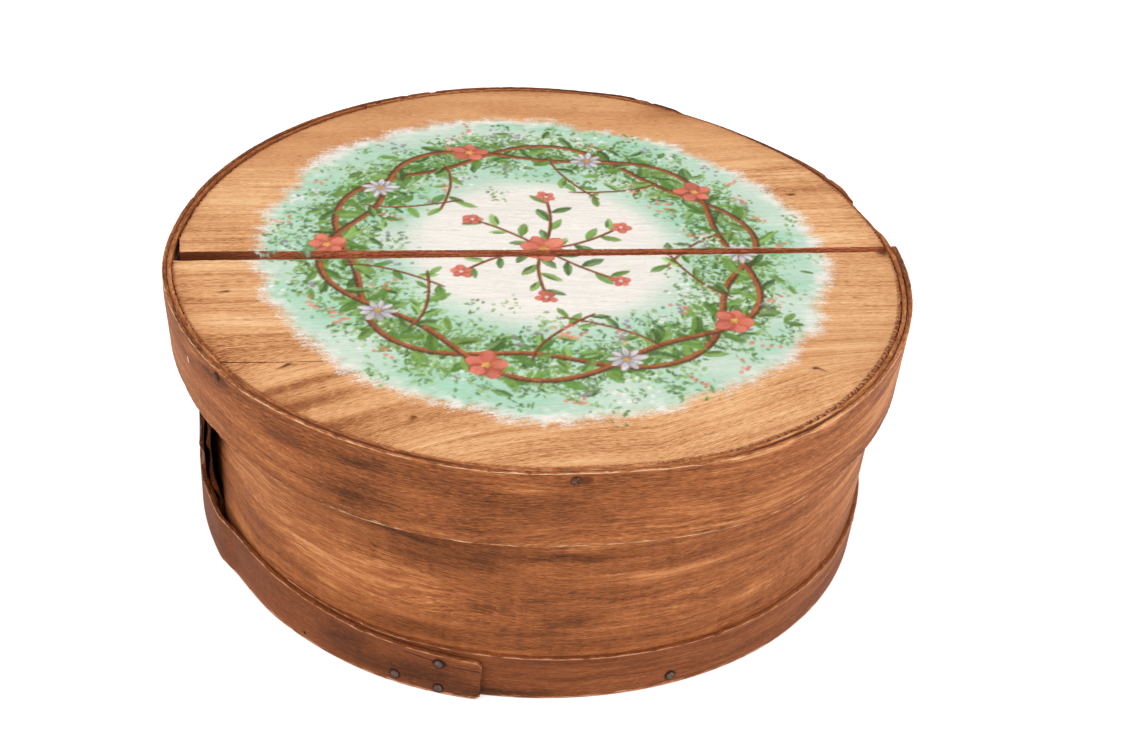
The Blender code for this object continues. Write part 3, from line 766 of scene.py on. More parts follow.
def side_piece(name, node, face, spread, turn_back, seed, patches, lenses=()):
    """One of the side's plies, its free end wavy and splayed out of the lap."""
    first = SIDE_LAP_START + turn_back
    last = SIDE_LAP_END + 360 - turn_back / 2
    free = SIDE_LAP_FREE + 360

    def place(along, share, inset, depth):
        angle = first + (last - first) * along
        height = SIDE_HEIGHT * share - inset - nicks(angle, seed, 0.0002) * (share > 0.5)
        level = np.clip(height + 0.0015 * rough(height * 90, 0, seed), 0, SIDE_HEIGHT)
        out = np.clip((angle - free) / (last - free), 0, 1)
        wave = 0.3 * rough(height * 700, 0, seed) + 0.9 * rough(height * 130, 1, seed)
        angle = angle + np.interp(level, SIDE_ROWS, LAP_EDGE_TURNS) * out - (wave + 0.8) * out ** 4
        splay = (SIDE_SPLAY + spread) * np.interp(level, SIDE_ROWS, SPLAY_ROW_SHARES)
        splay = splay * (1 + 0.3 * rough(height * 95, 0, 3)) + np.interp(height, *SPLAY_WAVES)
        splay = splay + 0.0004 * rough(height * 160, 0, seed) * (level < RIM_FOOT)
        radius = face + box_bend(angle) + side_offset(angle) + splay * out ** 2 + SIDE_PLY * depth
        return angle, radius - PLY_INSET, height

    mesh = bend_ply(name, round((last - first) * 2.5), 56, PLY_EDGE, 0.7, (0, 1), place)
    add_patches(mesh, 0.4, patches, lenses)
    material = wood(name, BENT_STOPS, WORN_EDGE, seed, checks=0.25, pores=0.65, spread=0.66)
    add_piece(name, mesh, "box", node, material)


def build_side():
    """Both plies of the side."""
    side_piece("side_outer_worn", "side_outer_ply", SIDE_OUTER_PLY_FACE, SIDE_SPLAY_SPREAD, 2, 23,
               SIDE_TONES_AND_SHADE, SIDE_LENSES)
    side_piece("side_inner_worn", "side_inner_ply", SIDE_INNER_PLY_FACE, 0, 0, 31, (SHADED_LAP_END,))


def build_hoop():
    """The base hoop, its end rounded above and chipped below."""
    first, last = HOOP_START, HOOP_END + 360
    corner, chip = 1.1, 0.8

    def place(along, share, inset, depth):
        angle = first + (last - first) * along
        top = HOOP_HEIGHT * read_table(HOOP_TOP_SHARES, angle, 1) - nicks(angle, 41, 0.0003, 16)
        foot = nicks(angle, 43, 0.00016, 11)
        rounded = np.clip((angle - last + corner) / corner, 0, 0.995)
        top = top - 0.0036 * (1 - np.sqrt(1 - rounded ** 2))
        foot = foot + 0.0022 * np.clip((angle - last + chip) / chip, 0, 1) ** 1.5
        height = foot + (top - foot) * share - inset
        ragged = 0.12 * rough(height * 600, 0, 44) * ease(angle, last - 1.5, last)
        radius = HOOP_INNER + box_bend(angle) + hoop_offset(angle) + hoop_ply(angle) * depth
        single = (angle > HOOP_END + 2) & (angle < HOOP_END + 270)
        radius = radius - 0.0002 * (1 - depth) * single - PLY_INSET
        return angle + ragged - 0.12 * (angle > last - 1.5), radius, height

    mesh = bend_ply("base_hoop_worn", round((last - first) * 3), 12, PLY_EDGE, 1.1, (1.2, 0.16),
                    place)
    add_patches(mesh, 0, HOOP_PATCHES)
    tack_up = HOOP_HEIGHT * HOOP_TACK_SHARE
    spots = [(along_rim(angle if angle > HOOP_END else angle + 360), BOTTOM_BOARD * share,
              0.0033, 0.2, 0.9) for angle, share in BASE_NAIL_SHARES]
    spots += [(along_rim(HOOP_TACK_ANGLE + 360), tack_up, 0.0034, 0.5, 0.9),
              (along_rim(EMPTY_BORE_ANGLE + 360), BOTTOM_BOARD * EMPTY_BORE_SHARE, 0.0010, 0, 1)]
    start, tack, end = [along_rim(360 + angle) for angle in (252.5, 259, 265.2)]
    cracks = ((start, tack_up + 0.0026, tack, tack_up + 0.0008, 0.0005),
              (tack, tack_up - 0.0006, end, tack_up - 0.0012, 0.0004),
              (tack, tack_up - 0.0095, end, tack_up - 0.0118, 0.0003))
    stops = [np.array(stop) * HOOP_SHADE for stop in BENT_STOPS]
    material = wood("base_hoop_worn", stops, WORN_HOOP, 47, spots, cracks, pores=0.5, spread=0.8)
    add_piece("base_hoop_worn", mesh, "box", "base_hoop", material)


# Boards

def arc_angles(first, last, step):
    """Even angles from one end of an arc to the other."""
    angle = np.arange(first, last, step)
    angle[-1] = last
    return angle


def left_of(first, second):
    """The direction to the left of a line between two corners."""
    along = (second - first) / np.linalg.norm(second - first)
    return np.array((-along[1], along[0]))


def from_edges(points, corners):
    """How far points lie to the left of a row of lines between corners, at the least."""
    return np.min([(points - first) @ left_of(first, second)
                   for first, second in zip(corners, corners[1:])], axis=0)


def split_edge(first, second, ragged, seed):
    """Points along a straight sawn edge, a little worn back from it."""
    length = np.linalg.norm(second - first)
    count = max(int(length / SEAM_STEP), 2)
    shares = np.arange(1, count) / count
    points = first + (second - first) * shares[:, None]
    back = ragged * (0.5 + 0.3 * rough(shares * length * 300, 0, seed)
                     + 0.2 * rough(shares * length * 1100, 1, seed))
    return points + left_of(first, second) * back[:, None]


def board_mesh(name, arc, corners, steps, inner, high, low, ragged, seed):
    """A board: an even grid in its middle, rings out to its outline, rough edges to its foot."""
    straight = [arc[-1], *corners, arc[0]]
    parts = [arc]
    for count, (first, second) in enumerate(zip(straight, straight[1:])):
        parts.append(split_edge(first, second, ragged, seed + count))
        if count < len(corners):
            parts.append(second[None])
    outline = np.concatenate(parts)

    # Seam frame: along the board's straight edge from its middle, and in from that edge
    middle, inward = (straight[-2] + straight[-1]) / 2, left_of(straight[-2], straight[-1])
    frame_axes = np.array(((inward[1], -inward[0]), inward))
    scale, setback = np.array((inner, inner - 0.007)), np.array((0, SEAM_SETBACK))

    def seam_frame(points):
        return (points - middle) @ frame_axes.T

    def shrink(points, last_share, share):
        local = (seam_frame(points) - setback * last_share) / (1 + (scale - 1) * last_share)
        return (local * (1 + (scale - 1) * share) + setback * share) @ frame_axes + middle

    reach = np.abs(seam_frame(outline)).max(0) * inner
    counts = [max(int(2 * size / step), 4) for size, step in zip(reach, steps)]
    mesh = grid_mesh(name, *counts)
    local = read_points(mesh)[:, :2] * reach
    flat = local @ frame_axes + middle
    write_points(mesh, np.column_stack((flat, np.full(len(flat), high))))
    work = bmesh.new()
    work.from_mesh(mesh)
    grown = (local - setback) / scale @ frame_axes + middle
    limit = np.interp(angle_of(grown), angle_of(arc), np.linalg.norm(arc, axis=1), period=360)
    outside = np.linalg.norm(grown, axis=1) > limit - max(steps) * 1.6
    outside |= from_edges(grown, straight) < max(steps) * 0.8
    gone = [vert for vert, out in zip(work.verts, outside) if out]
    bmesh.ops.delete(work, geom=gone, context='VERTS')
    loose = [edge for edge in work.edges if not edge.link_faces]
    bmesh.ops.delete(work, geom=loose, context='EDGES')
    loose = [vert for vert in work.verts if not vert.link_faces]
    bmesh.ops.delete(work, geom=loose, context='VERTS')
    grid_edge = [edge for edge in work.edges if edge.is_boundary]
    ring = [work.verts.new((x, y, high)) for x, y in outline]
    outer = [work.edges.new(pair) for pair in zip(ring, ring[1:] + ring[:1])]
    edges = outer
    for last_share, share in zip(RING_SHARES, RING_SHARES[1:]):
        edges, made = pull_edges(work, edges)
        places = np.array([vert.co.xy for vert in made])
        for vert, place in zip(made, shrink(places, last_share, share)):
            vert.co.xy = place
    bmesh.ops.triangle_fill(work, use_beauty=True, edges=grid_edge + edges, normal=(0, 0, 1))
    edges = outer
    for level in WALL_SHARES:
        edges, made = pull_edges(work, edges)
        for vert in made:
            vert.co.z = high - (high - low) * level
    bmesh.ops.triangle_fill(work, use_beauty=True, edges=edges, normal=(0, 0, -1))
    close_mesh(work, mesh)
    return mesh, straight


def pull_edges(work, edges):
    """Extrude a ring of edges: the new edges and the new corners."""
    made = bmesh.ops.extrude_edge_only(work, edges=edges)["geom"]
    corners = [item for item in made if isinstance(item, bmesh.types.BMVert)]
    return [item for item in made if isinstance(item, bmesh.types.BMEdge)], corners


def figure(along, across):
    """Where the grain runs across a lid board: level by the seam, rising to the right in front."""
    part = np.clip((along + 0.11) / 0.14, 0, 1)
    rise = along + 0.12 - 0.14 * (part ** 3 - part ** 4 / 2)
    return across - 0.42 * rise * ease(-across, 0.075, 0.125)


def finish_board(mesh, straight, high, low, turn, outer, seed, lift=lambda angle: 0, snug=0):
    """Relief, grain, wear and edge distances of a board whose arc stands at a radius.

    lift() says how far the board has warped upwards at its edge. A snug board's wall stands out
    again below its frayed top, by that much past its radius.
    """
    points = read_points(mesh)
    flat = points[:, :2].copy()
    along, across = flat @ polar(1, turn), flat @ polar(1, turn + math.pi / 2)
    radius = np.linalg.norm(flat, axis=1)
    angle = angle_of(flat)
    drop = (high - points[:, 2]) / (high - low)
    seam, from_arc = from_edges(flat, straight), outer(angle) - radius
    edge, by_arc, top = np.minimum(from_arc, seam), from_arc < seam, drop < 1e-4

    def push(distance):
        """Move the points outwards."""
        points[:, :2] *= (1 + distance / np.maximum(radius, 0.05))[:, None]

    worn = 0.00035 * np.exp(-edge / 0.0007) * (0.9 + 0.6 * rough(along * 300, across * 300, seed))
    points[:, 2] -= top * (0.00016 * (rough(along * 5, across * 34, seed) + 1) + worn)
    points[:, 2] += lift(angle) * (1 - drop) * ease(-from_arc, -WARP_REACH, 0)
    wall = np.clip(drop * 12, 0, 1) * (drop < 0.99)
    push(-wall * 0.0002 * (1 + rough(along * 420 + across * 90, points[:, 2] * 1600, seed)))
    if snug:
        push(ease(drop, 0.03, 0.3) * (from_arc + snug) * by_arc * (from_arc < FRAY_REACH))
    write_points(mesh, points)
    write_values(mesh, "grain", np.column_stack((along, figure(along, across), points[:, 2])))
    write_values(mesh, "wear", np.where(top, 0.6 * np.exp(-seam / 0.0006), 0))
    write_values(mesh, "cut", ~top)
    strength = 0.7 + 0.55 * np.exp(-((angle - 325) / 34) ** 2)
    write_values(mesh, "rim", np.column_stack((np.where(by_arc, along_rim(angle), along),
                                               np.where(top, edge, 0.01) + 0.004 * ~by_arc,
                                               strength)))
    return along, across, drop, top


def board_arc(angle):
    """The radius of the lid's boards at an angle."""
    return LID_BOARD_RADIUS + lid_bend(angle) + 0.4 * inner_bulge(angle)


def lid_outlines():
    """Outlines of the lid's two boards, as arc points and the corners after them, and their turn."""
    def rim(first, last, seed):
        angle = arc_angles(first, last, 0.17)
        along = np.radians(angle) * LID_BOARD_RADIUS * 1000
        notch = ease(rough(along / 1.25, 0, seed), 0.15, 0.8)
        fray = 0.0008 * notch + 0.00022 * (1 + rough(along / 3.1, 0, seed + 1))
        return polar(board_arc(angle) - fray, np.radians(angle))

    front = rim(LID_SEAM_FRONT_LEFT, LID_SEAM_FRONT_RIGHT, 61)
    ends = np.array((LID_SEAM_FRONT_LEFT, LID_SEAM_FRONT_RIGHT))
    ends = polar(LID_BOARD_RADIUS + lid_bend(ends), np.radians(ends))
    left = ends[0] + left_of(*ends) * LID_SEAM_LEFT
    right = ends[1] + left_of(*ends) * LID_SEAM_RIGHT
    turn_right = math.degrees(math.asin(LID_SEAM_RIGHT / LID_BOARD_RADIUS))
    rear = rim(LID_SEAM_FRONT_RIGHT - 360 + turn_right, LID_CORNER_END, 67)
    corner = left + (right - left) * LID_CORNER_CUT / (2 * LID_BOARD_RADIUS)
    turn = math.atan2(*(ends[1] - ends[0])[::-1])
    return (("lid_board_front", front, (), 71), ("lid_board_back", rear, (corner,), 79)), turn


# Knots and a dark corner of the lid, along and across from its middle with half sizes; a crack
# from end to end with its width; and broad tones, along and across the grain with half sizes
KNOTS = ((-0.1703, -0.0384, 0.0042, 0.0012), (-0.1379, -0.1044, 0.0030, 0.0011),
         (-0.0810, -0.1493, 0.0015, 0.0013), (0.1211, -0.1185, 0.0024, 0.0012),
         (0.1637, -0.0543, 0.0032, 0.0012), (0.1560, 0.0560, 0.0030, 0.0012))
LID_TONES = ((-0.130, -0.1160, 0.030, 0.0036, -3.2), (-0.127, -0.1325, 0.026, 0.0040, -2.4),
             (-0.108, -0.1560, 0.026, 0.0050, -1.6), (-0.165, -0.0560, 0.018, 0.006, -0.7),
             (0.100, -0.2080, 0.035, 0.012, -0.8), (0.150, -0.1080, 0.020, 0.012, -0.5),
             (-0.020, 0.1750, 0.090, 0.010, -0.8), (0.090, 0.1650, 0.050, 0.010, -0.5))
DARK_CORNER = (0.1915, -0.0075, 0.0035, 0.0055)
LID_CRACK = (-0.185, -0.0863, -0.115, -0.1038, 0.00024)


def build_lid_boards(canvas):
    """The lid's boards with their painted tops."""
    outlines, turn = lid_outlines()
    material = wood("lid_boards_worn", BOARD_STOPS, WORN_BOARD, 5, cracks=(LID_CRACK,), pores=0.6,
                    fines=1.2, spread=0.54, torn=1.2, specks=0, relief=0.35, curl=0.45,
                    painted=True)
    for node, arc, corners, seed in outlines:
        mesh, straight = board_mesh(node + "_worn", arc, corners, LID_STEPS, 0.87,
                                    LID_TOP, LID_TOP - LID_BOARD, 0.0004, seed)
        along, across, drop, top = finish_board(
            mesh, straight, LID_TOP, LID_TOP - LID_BOARD, turn, board_arc, seed,
            lambda angle: RIM_PROUD * read_table(BOARD_LIFT_SHARES, angle, 1.5), SNUG)
        uneven = 1.1 + 0.5 * rough(along * 900, across * 900, 3)
        marks_and_shade = sum(0.75 * blob(along, across, *knot) ** uneven for knot in KNOTS)
        marks_and_shade += 0.8 * blob(along, across, *DARK_CORNER)
        # On the walls: darker towards the seam's left end, and painted shade darkening them towards
        # their foot, deep in the seam
        walls = 0.5 * (1 - ease(along, -0.185, -0.13)) + 0.7 * ease(drop, 0.7, 0.97)
        write_values(mesh, "marks_and_shade", np.clip(np.where(top, marks_and_shade, walls), 0, 0.9))
        calm = ease(across, 0.06, 0.13)
        write_values(mesh, "calm", calm)
        tone = 0.9 * rough(along * 12, across * 34, seed) + 0.5 * rough(along * 30, across * 90, 4)
        tone -= 1.1 * np.exp(-(LID_BOARD_RADIUS - np.hypot(along, across)) / 0.007) + 0.2 * calm
        for *area, strength in LID_TONES:
            tone += strength * blob(along, figure(along, across), *area)
        write_values(mesh, "tone", tone)
        points = read_points(mesh)
        paint = canvas.sample(*points[:, :2].T)
        flecks = (drop > 0.02) & (drop < 0.4) & (rough(along * 260, drop * 6, 9) > 0.25)
        flecks &= (along < -0.125) & (along > -0.155)
        paint[:, 3] *= top | flecks
        write_values(mesh, "paint", paint)
        write_points(mesh, points + (*LID_SHIFT, 0))
        add_piece(node + "_worn", mesh, "lid", node, material)


def build_bottom():
    """The bottom's two boards."""
    rear, front = (math.degrees(math.asin((BOTTOM_SEAM_Y + half) / BOTTOM_RADIUS))
                   for half in (BOTTOM_SEAM / 2, -BOTTOM_SEAM / 2))
    material = wood("bottom_boards_worn", INSIDE_STOPS, WORN_EDGE, 15)
    for node, first, last, seed in (("bottom_board_front", 180 - front, 360 + front, 83),
                                    ("bottom_board_back", rear, 180 - rear, 89)):
        angle = arc_angles(first, last, 0.5)
        arc = polar(BOTTOM_RADIUS + box_bend(angle) + lap_dip(angle) - BOTTOM_INSET, np.radians(angle))
        mesh, straight = board_mesh(node + "_worn", arc, (), BOTTOM_STEPS, 0.9, BOTTOM_BOARD,
                                    0, 0.0003, seed)
        finish_board(mesh, straight, BOTTOM_BOARD, 0, 0,
                     lambda angle: BOTTOM_RADIUS + box_bend(angle), seed)
        add_piece(node + "_worn", mesh, "box", node, material)


# The painted lid: a garland of leaves and blossoms laid on with a loaded brush

class Canvas:
    """A square of thin paint over the lid's middle, filled stroke by stroke."""

    def __init__(self, reach, step):
        self.reach, self.step = reach, step
        count = int(2 * reach / step) + 1
        axis = np.linspace(-reach, reach, count)
        self.x, self.y = np.meshgrid(axis, axis)
        self.colour = np.full((count, count, 3), 220.0)
        self.cover = np.zeros((count, count))
        self.random = np.random.default_rng(19)

    def lay(self, rows, columns, cover, colour):
        """Put paint over what is there."""
        below = self.cover[rows, columns] * (1 - cover)
        total = np.maximum(below + cover, 1e-6)
        mixed = self.colour[rows, columns] * (below / total)[..., None]
        self.colour[rows, columns] = mixed + colour * (cover / total)[..., None]
        self.cover[rows, columns] = below + cover

    def dab(self, spot, turn, length, width, colour, cover=0.9, dry=0.4, power=0.8):
        """One stroke: full in its middle, streaked and dry towards its tip."""
        span = int(max(length, width) * 0.55 / self.step) + 2
        middle = self.reach / self.step
        columns, rows = (slice(max(int(place / self.step + middle) - span, 0),
                               max(int(place / self.step + middle) + span, 0)) for place in spot)
        dx, dy = self.x[rows, columns] - spot[0], self.y[rows, columns] - spot[1]
        if not dx.size:
            return
        along = (dx * math.cos(turn) + dy * math.sin(turn)) / (length / 2)
        across = (dy * math.cos(turn) - dx * math.sin(turn)) / (width / 2)
        seed = int(self.random.integers(1000))
        body = np.clip(1 - along ** 2, 0, 1) ** power * (1 + 0.12 * rough(along * 3, 0, seed))
        inside = np.clip((body - np.abs(across)) * width / 2 / 0.0005, 0, 1)
        streak = rough(across * 3.5, along * 0.9, seed) * 0.5 + 0.5
        thin = 1 - dry * streak * np.clip(along * 0.6 + 0.6, 0, 1.2)
        tint = np.array(colour) * (1 + 0.07 * self.random.standard_normal())
        tint = tint + 10 * (streak - 0.5)[..., None]
        self.lay(rows, columns, inside * cover * np.clip(thin, 0, 1), np.clip(tint, 0, 250))

    def sample(self, x, y):
        """Linear colour and cover at places, straight between the canvas's points."""
        last = self.cover.shape[0] - 1.001
        column, row = (np.clip((place + self.reach) / self.step, 0, last) for place in (x, y))
        left, low = column.astype(int), row.astype(int)
        u, v = (column - left)[:, None], (row - low)[:, None]
        whole = np.dstack((self.colour, self.cover * 255)) / 255
        found = (whole[low, left] * (1 - u) + whole[low, left + 1] * u) * (1 - v)
        found += (whole[low + 1, left] * (1 - u) + whole[low + 1, left + 1] * u) * v
        found[:, :3] = np.clip(found[:, :3], 0, 1) ** 2.2
        return found


GREENS = ((78, 122, 52), (104, 148, 66), (132, 172, 88), (60, 98, 48), (150, 190, 120))
MINT, CREAM, STEM, STEM_DARK = (172, 218, 190), (248, 242, 232), (176, 98, 54), (92, 58, 48)
CORAL, CORAL_DARK, LILAC, WHITE = (235, 134, 112), (196, 92, 76), (150, 140, 152), (242, 240, 232)
FLECKS = (MINT, (214, 228, 200), (110, 150, 96), (66, 96, 58))
YELLOW, OCHRE = (226, 178, 92), (212, 160, 74)
PAINT_RADIUS = 0.158
GARLAND_RADIUS = 0.113


def leaf(canvas, spot, turn, length):
    """A leaf of two loaded strokes, the light one along its upper half."""
    random = canvas.random
    pick = random.integers(4)
    side = 0.1 * length * (1 if random.random() < 0.6 else -1)
    canvas.dab(spot, turn, length, length * random.uniform(0.32, 0.46), GREENS[pick], 0.95)
    canvas.dab(spot + polar(side, turn + math.pi / 2), turn + random.uniform(-0.15, 0.15),
               length * random.uniform(0.6, 0.9), length * 0.19, GREENS[pick + 1], 0.8, 0.75)


def blossom(canvas, spot, size, petals, colour, shade, heart):
    """An open flower: uneven petals round a dabbed heart."""
    random = canvas.random
    start = random.uniform(0, math.tau)
    for count in range(petals):
        turn = start + math.tau * (count + random.uniform(-0.12, 0.12)) / petals
        long = size * random.uniform(0.82, 1.12)
        wide = size * min(0.9, 4.4 / petals) * random.uniform(0.85, 1.1)
        middle = spot + polar(0.5 * long, turn)
        canvas.dab(middle, turn + math.pi, long, wide, shade, 0.95, 0.3, 0.5)
        canvas.dab(middle + polar(0.1 * size, turn), turn + math.pi + random.uniform(-0.2, 0.2),
                   long * 0.75, wide * 0.7, colour, 0.9, 0.8, 0.5)
    for turn in math.tau / 5 * np.arange(5):
        canvas.dab(spot + polar(0.1 * size, turn), turn, size * 0.3, size * 0.22, heart, dry=0.2)


def branch(canvas, points, width, leaves, length):
    """A stem laid in short strokes, with leaves to both sides after every few strokes."""
    for count, (spot, (dx, dy)) in enumerate(zip(points, np.diff(points, axis=0))):
        turn, run = math.atan2(dy, dx), math.hypot(dx, dy) * 1.9
        canvas.dab(spot, turn, run, width, STEM_DARK, 0.85, 0.2, 0.3)
        canvas.dab(spot + polar(0.2 * width, turn + math.pi / 2), turn, run, width * 0.6, STEM,
                   0.95, 0.3, 0.3)
        if count % leaves == 0:
            side = 1 if (count // leaves) % 2 else -1
            lean = turn + side * (0.75 + 0.2 * canvas.random.standard_normal())
            size = length * canvas.random.uniform(0.8, 1.15)
            leaf(canvas, spot + polar(0.55 * size, lean), lean, size)


def paint_ground(canvas):
    """A pale wash with a ragged, brushed edge, mint green under the garland."""
    radius, angle = np.hypot(canvas.x, canvas.y), np.arctan2(canvas.y, canvas.x)
    turn = np.degrees(angle)
    edge = PAINT_RADIUS * (0.985 + 0.016 * np.sin(3 * angle + 1) + 0.008 * np.sin(8 * angle)
                           + 0.018 * rough(turn / 7, 0, 2) + 0.012 * rough(turn / 2.5, 1, 2))
    streaks = rough(canvas.x * 60, canvas.y * 900, 4)
    brushed = rough(turn / 0.8, radius * 90, 8) * 0.6 + 0.4 * rough(turn / 2, radius * 60, 9)
    blots = rough(canvas.x * 240, canvas.y * 320, 12)
    specks = rough(canvas.x * 620, canvas.y * 900, 13)
    cover = (edge - radius) / 0.014 + 0.45 + 0.1 * brushed + 0.08 * streaks
    cover = cover + 0.16 * (blots + specks)
    wash = 0.5 + 0.5 * rough(canvas.x * 22, canvas.y * 60, 5) + 0.2 * streaks
    ring = ease(radius, 0.062, 0.088) * (1 - ease(radius + 0.006 * blots, 0.143, 0.160))
    share = np.clip(ring * (0.45 + 0.7 * wash), 0, 1)[..., None]
    ground = np.array(CREAM) * (1 - share) + np.array(MINT) * share
    canvas.lay(slice(None), slice(None), np.clip(cover, 0, 1) * 0.96,
               ground + 6 * streaks[..., None])


def paint_lid():
    """Ground, foliage, stems and flowers of the lid's painting."""
    canvas = Canvas(0.176, 0.00038)
    random = canvas.random
    paint_ground(canvas)

    def any_turn():
        return random.uniform(0, math.tau)

    def near_garland(spread):
        turn = any_turn()
        return polar(GARLAND_RADIUS + spread * random.standard_normal(), turn)

    # Foliage
    for _ in range(900):
        middle = near_garland(0.015)
        first = random.integers(5)
        for _ in range(14):
            spot = middle + 0.0044 * random.standard_normal(2)
            tint = GREENS[first] if random.random() < 0.72 else FLECKS[random.integers(4)]
            canvas.dab(spot, any_turn(), random.uniform(0.0022, 0.0052),
                       random.uniform(0.0014, 0.0028), tint, random.uniform(0.55, 0.9), 0.6)
    for _ in range(260):
        leaf(canvas, near_garland(0.013), any_turn(), random.uniform(0.008, 0.013))

    # Two stems that twine, and side shoots from them
    turns = np.linspace(0, math.tau, 181)
    for phase in (0, math.pi):
        sway = 0.0095 * np.sin(5 * turns + phase) + 0.0028 * rough(turns * 2.1, phase, 3)
        branch(canvas, polar(GARLAND_RADIUS + sway, turns), 0.0046, 3, 0.016)
    curl = np.linspace(0, 1, 14)[:, None]
    for count in range(10):
        turn = math.tau * (count + 0.5) / 10
        aside = polar(0.03 if count % 2 else -0.03, turn + math.pi / 2)
        branch(canvas, polar(GARLAND_RADIUS - 0.008, turn) * (1 - 0.42 * curl)
               + aside * curl ** 1.6, 0.0022, 3, 0.013)

    # Blossoms and buds
    for count in range(10):
        turn = math.tau * count / 10 + 0.12
        if count % 2:
            blossom(canvas, polar(GARLAND_RADIUS + 0.004, turn), 0.0118, 5, CORAL, CORAL_DARK,
                    YELLOW)
        else:
            blossom(canvas, polar(GARLAND_RADIUS - 0.003, turn), 0.0105, 9, WHITE, LILAC, OCHRE)
    for _ in range(90):
        turn = any_turn()
        reach = GARLAND_RADIUS + random.choice((-1, 1)) * random.uniform(0.016, 0.034)
        tint = (LILAC, CORAL, WHITE)[random.integers(3)]
        for _ in range(5):
            canvas.dab(polar(reach, turn) + 0.003 * random.standard_normal(2), any_turn(), 0.0034,
                       0.0028, tint, 0.85, 0.3)

    # The spray in the middle
    curl = np.linspace(0, 1, 12)[:, None]
    for count in range(6):
        turn = math.tau * count / 6 + 0.3
        out = polar(random.uniform(0.044, 0.056), turn)
        aside = polar(random.uniform(0.008, 0.022), turn + math.pi / 2)
        branch(canvas, out * curl + aside * curl ** 2 + 0.0001, 0.0024, 2, 0.014)
        blossom(canvas, 1.06 * (out + aside), 0.0065, 5, CORAL, CORAL_DARK, WHITE)
    blossom(canvas, np.zeros(2), 0.0145, 6, CORAL, CORAL_DARK, YELLOW)
    return canvas


# Nails

def nail(node, body, angle, radius, height, length, material, seed, centre=(0, 0)):
    """A nail turned about its axis, its head dented by the hammer."""
    outline = [(HEAD_RADIUS * out, HEAD_HEIGHT * up) for out, up in HEAD_SHARES]
    outline += [(SHANK_RADIUS, 0), (SHANK_RADIUS, NAIL_POINT - length), (0, -length)]
    work = bmesh.new()
    corners = [work.verts.new((x, 0, z)) for x, z in outline]
    edges = [work.edges.new(pair) for pair in zip(corners, corners[1:])]
    bmesh.ops.spin(work, geom=corners + edges, cent=(0, 0, 0), axis=(0, 0, 1), angle=math.tau,
                   steps=28, use_merge=True)
    bmesh.ops.remove_doubles(work, verts=work.verts, dist=1e-6)
    mesh = bpy.data.meshes.new(node + "_head")
    close_mesh(work, mesh)
    points = read_points(mesh)
    head = points[:, 2] > HEAD_HEIGHT * 0.1
    dent = rough(points[:, 0] * 700 + seed * 7, points[:, 1] * 700, seed)
    points[:, 2] -= head * 0.00012 * (dent + 1) * points[:, 2] / HEAD_HEIGHT
    spread = 0.05 * (1 + rough(np.arctan2(points[:, 1], points[:, 0]) * 1.6, 0, seed)) / 2
    points[:, :2] *= (1 - spread * head)[:, None]
    write_points(mesh, points)
    turn = math.radians(angle)
    mesh.transform(Matrix.Translation((*(polar(radius, turn) + centre), height))
                   @ Matrix.Rotation(turn, 4, 'Z') @ Matrix.Rotation(math.pi / 2, 4, 'Y'))
    add_piece(node + "_head", mesh, body, node, material, 50)


def hoop_outer(angle):
    """Where a nail's head sits on the base hoop, on the layer that is outside."""
    wrap = angle + 360 if angle < HOOP_END else angle
    return HOOP_RADIUS + hoop_offset(wrap) + box_bend(angle) + SEAT_GAP


def build_nails():
    """Every nail and tack."""
    iron = nail_iron("nail_iron_worn", ((52, 38, 32), (96, 74, 62), (134, 108, 94)), 1)
    rusty = nail_iron("nail_iron_rusty", ((48, 28, 18), (92, 60, 42), (134, 94, 70)), 0)
    for count, angle in enumerate(LID_NAIL_ANGLES, 1):
        nail(f"lid_nail_{count}", "lid", angle,
             LID_RADIUS + SEAT_GAP + rim_offset(angle) + lid_bend(angle),
             LID_TOP - LID_NAIL_DEPTH, LID_NAIL_LENGTH, rusty, count, LID_SHIFT)
    for count, (angle, share) in enumerate(BASE_NAIL_SHARES, 1):
        nail(f"base_nail_{count}", "box", angle, hoop_outer(angle), BOTTOM_BOARD * share,
             BASE_NAIL_LENGTH, iron, 10 + count)
    nail("hoop_lap_tack_1", "box", HOOP_TACK_ANGLE, hoop_outer(HOOP_TACK_ANGLE),
         HOOP_HEIGHT * HOOP_TACK_SHARE, TACK_LENGTH, iron, 30)
    for count, share in enumerate(LAP_TACK_SHARES, 1):
        nail(f"side_lap_tack_{count}", "box", LAP_TACK_ANGLE,
             HOOP_INNER + SIDE_LAP_LIFT + box_bend(LAP_TACK_ANGLE),
             HOOP_CREST + (RIM_FOOT - HOOP_CREST) * share, TACK_LENGTH, iron, 40 + count)


# Studio

CAMERA_PLACE = (0, -0.73276, 0.58327)
CAMERA_YAW = 1.21706
CAMERA_PITCH = 35.22275
CAMERA_ROLL = 5.35759
CAMERA_LENS = 49.205
LAMPS = (("key", (-0.9, -1.1, 1.9), 1.6, 19.6, (1, 1, 1)),
         ("fill", (1.4, -1.2, 1.0), 1.8, 13.5, (0.93, 1, 1.15)))


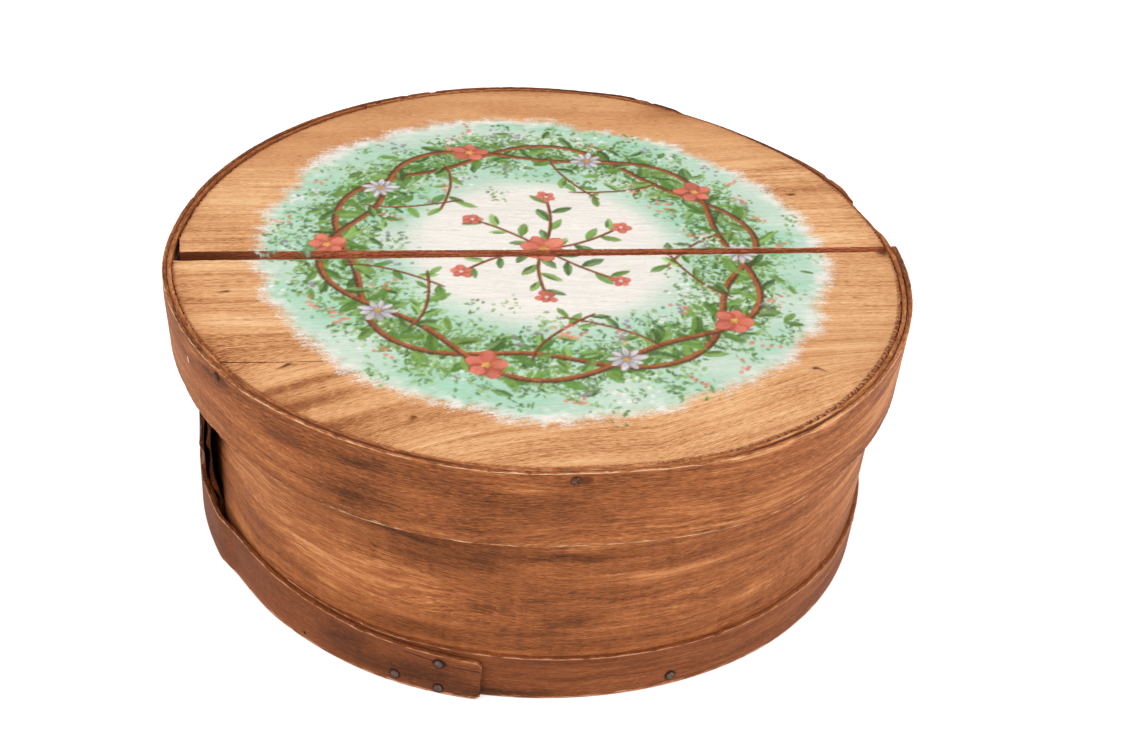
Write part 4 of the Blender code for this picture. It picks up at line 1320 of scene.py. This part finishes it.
def build_studio():
    """A white floor, soft light from above and the camera."""
    mesh = grid_mesh("floor", 8, 8, 6)
    mesh.transform(Matrix.Translation((0, 0, -SEAT_GAP)))
    floor = add_object("floor", mesh)
    nodes = Nodes(bpy.data.materials.new("floor_white"))
    seen, mirrored = (nodes.add("ShaderNodeLightPath", {}, ray)
                      for ray in ("Is Camera Ray", "Is Glossy Ray"))
    nodes.fill(nodes.shader, {"Base Color": (0.9, 0.9, 0.9, 1), "Roughness": 0.9,
                              "Specular IOR Level": 0.1, "Emission Color": (1, 1, 1, 1),
                              "Emission Strength": seen.math('MAXIMUM', mirrored) * 0.5})
    mesh.materials.append(nodes.owner)

    world = bpy.data.worlds.new("studio")
    bpy.context.scene.world = world
    nodes = Nodes(world, "Background")
    seen = nodes.add("ShaderNodeLightPath", {}, "Is Camera Ray")
    nodes.fill(nodes.shader, {"Color": (1, 1, 1, 1), "Strength": seen.fade(0, 1, 0.66, 1)})

    for name, place, size, power, tint in LAMPS:
        light = bpy.data.lights.new(name, 'AREA')
        light.size, light.energy, light.color = size, power, tint
        add_object(name, light).matrix_world = look_at(place, (0, 0, 0.08))

    camera = bpy.data.cameras.new("camera")
    camera.sensor_width, camera.lens = 36, CAMERA_LENS
    eye = add_object("camera", camera)
    eye.matrix_world = (Matrix.Translation(CAMERA_PLACE)
                        @ Matrix.Rotation(math.radians(-CAMERA_YAW), 4, 'Z')
                        @ Matrix.Rotation(math.radians(90 - CAMERA_PITCH), 4, 'X')
                        @ Matrix.Rotation(math.radians(CAMERA_ROLL), 4, 'Z'))
    bpy.context.scene.camera = eye
    bpy.context.scene.view_settings.view_transform = 'Standard'


def look_at(place, target):
    """A matrix at a place, with its -Z towards a target."""
    away = np.array(place, float) - np.array(target, float)
    flat = math.hypot(away[0], away[1])
    return (Matrix.Translation(place)
            @ Matrix.Rotation(math.atan2(away[0], -away[1]), 4, 'Z')
            @ Matrix.Rotation(math.atan2(flat, away[2]), 4, 'X'))


build_studio()
build_lid_boards(paint_lid())
build_rim()
build_side()
build_hoop()
build_bottom()
build_nails()
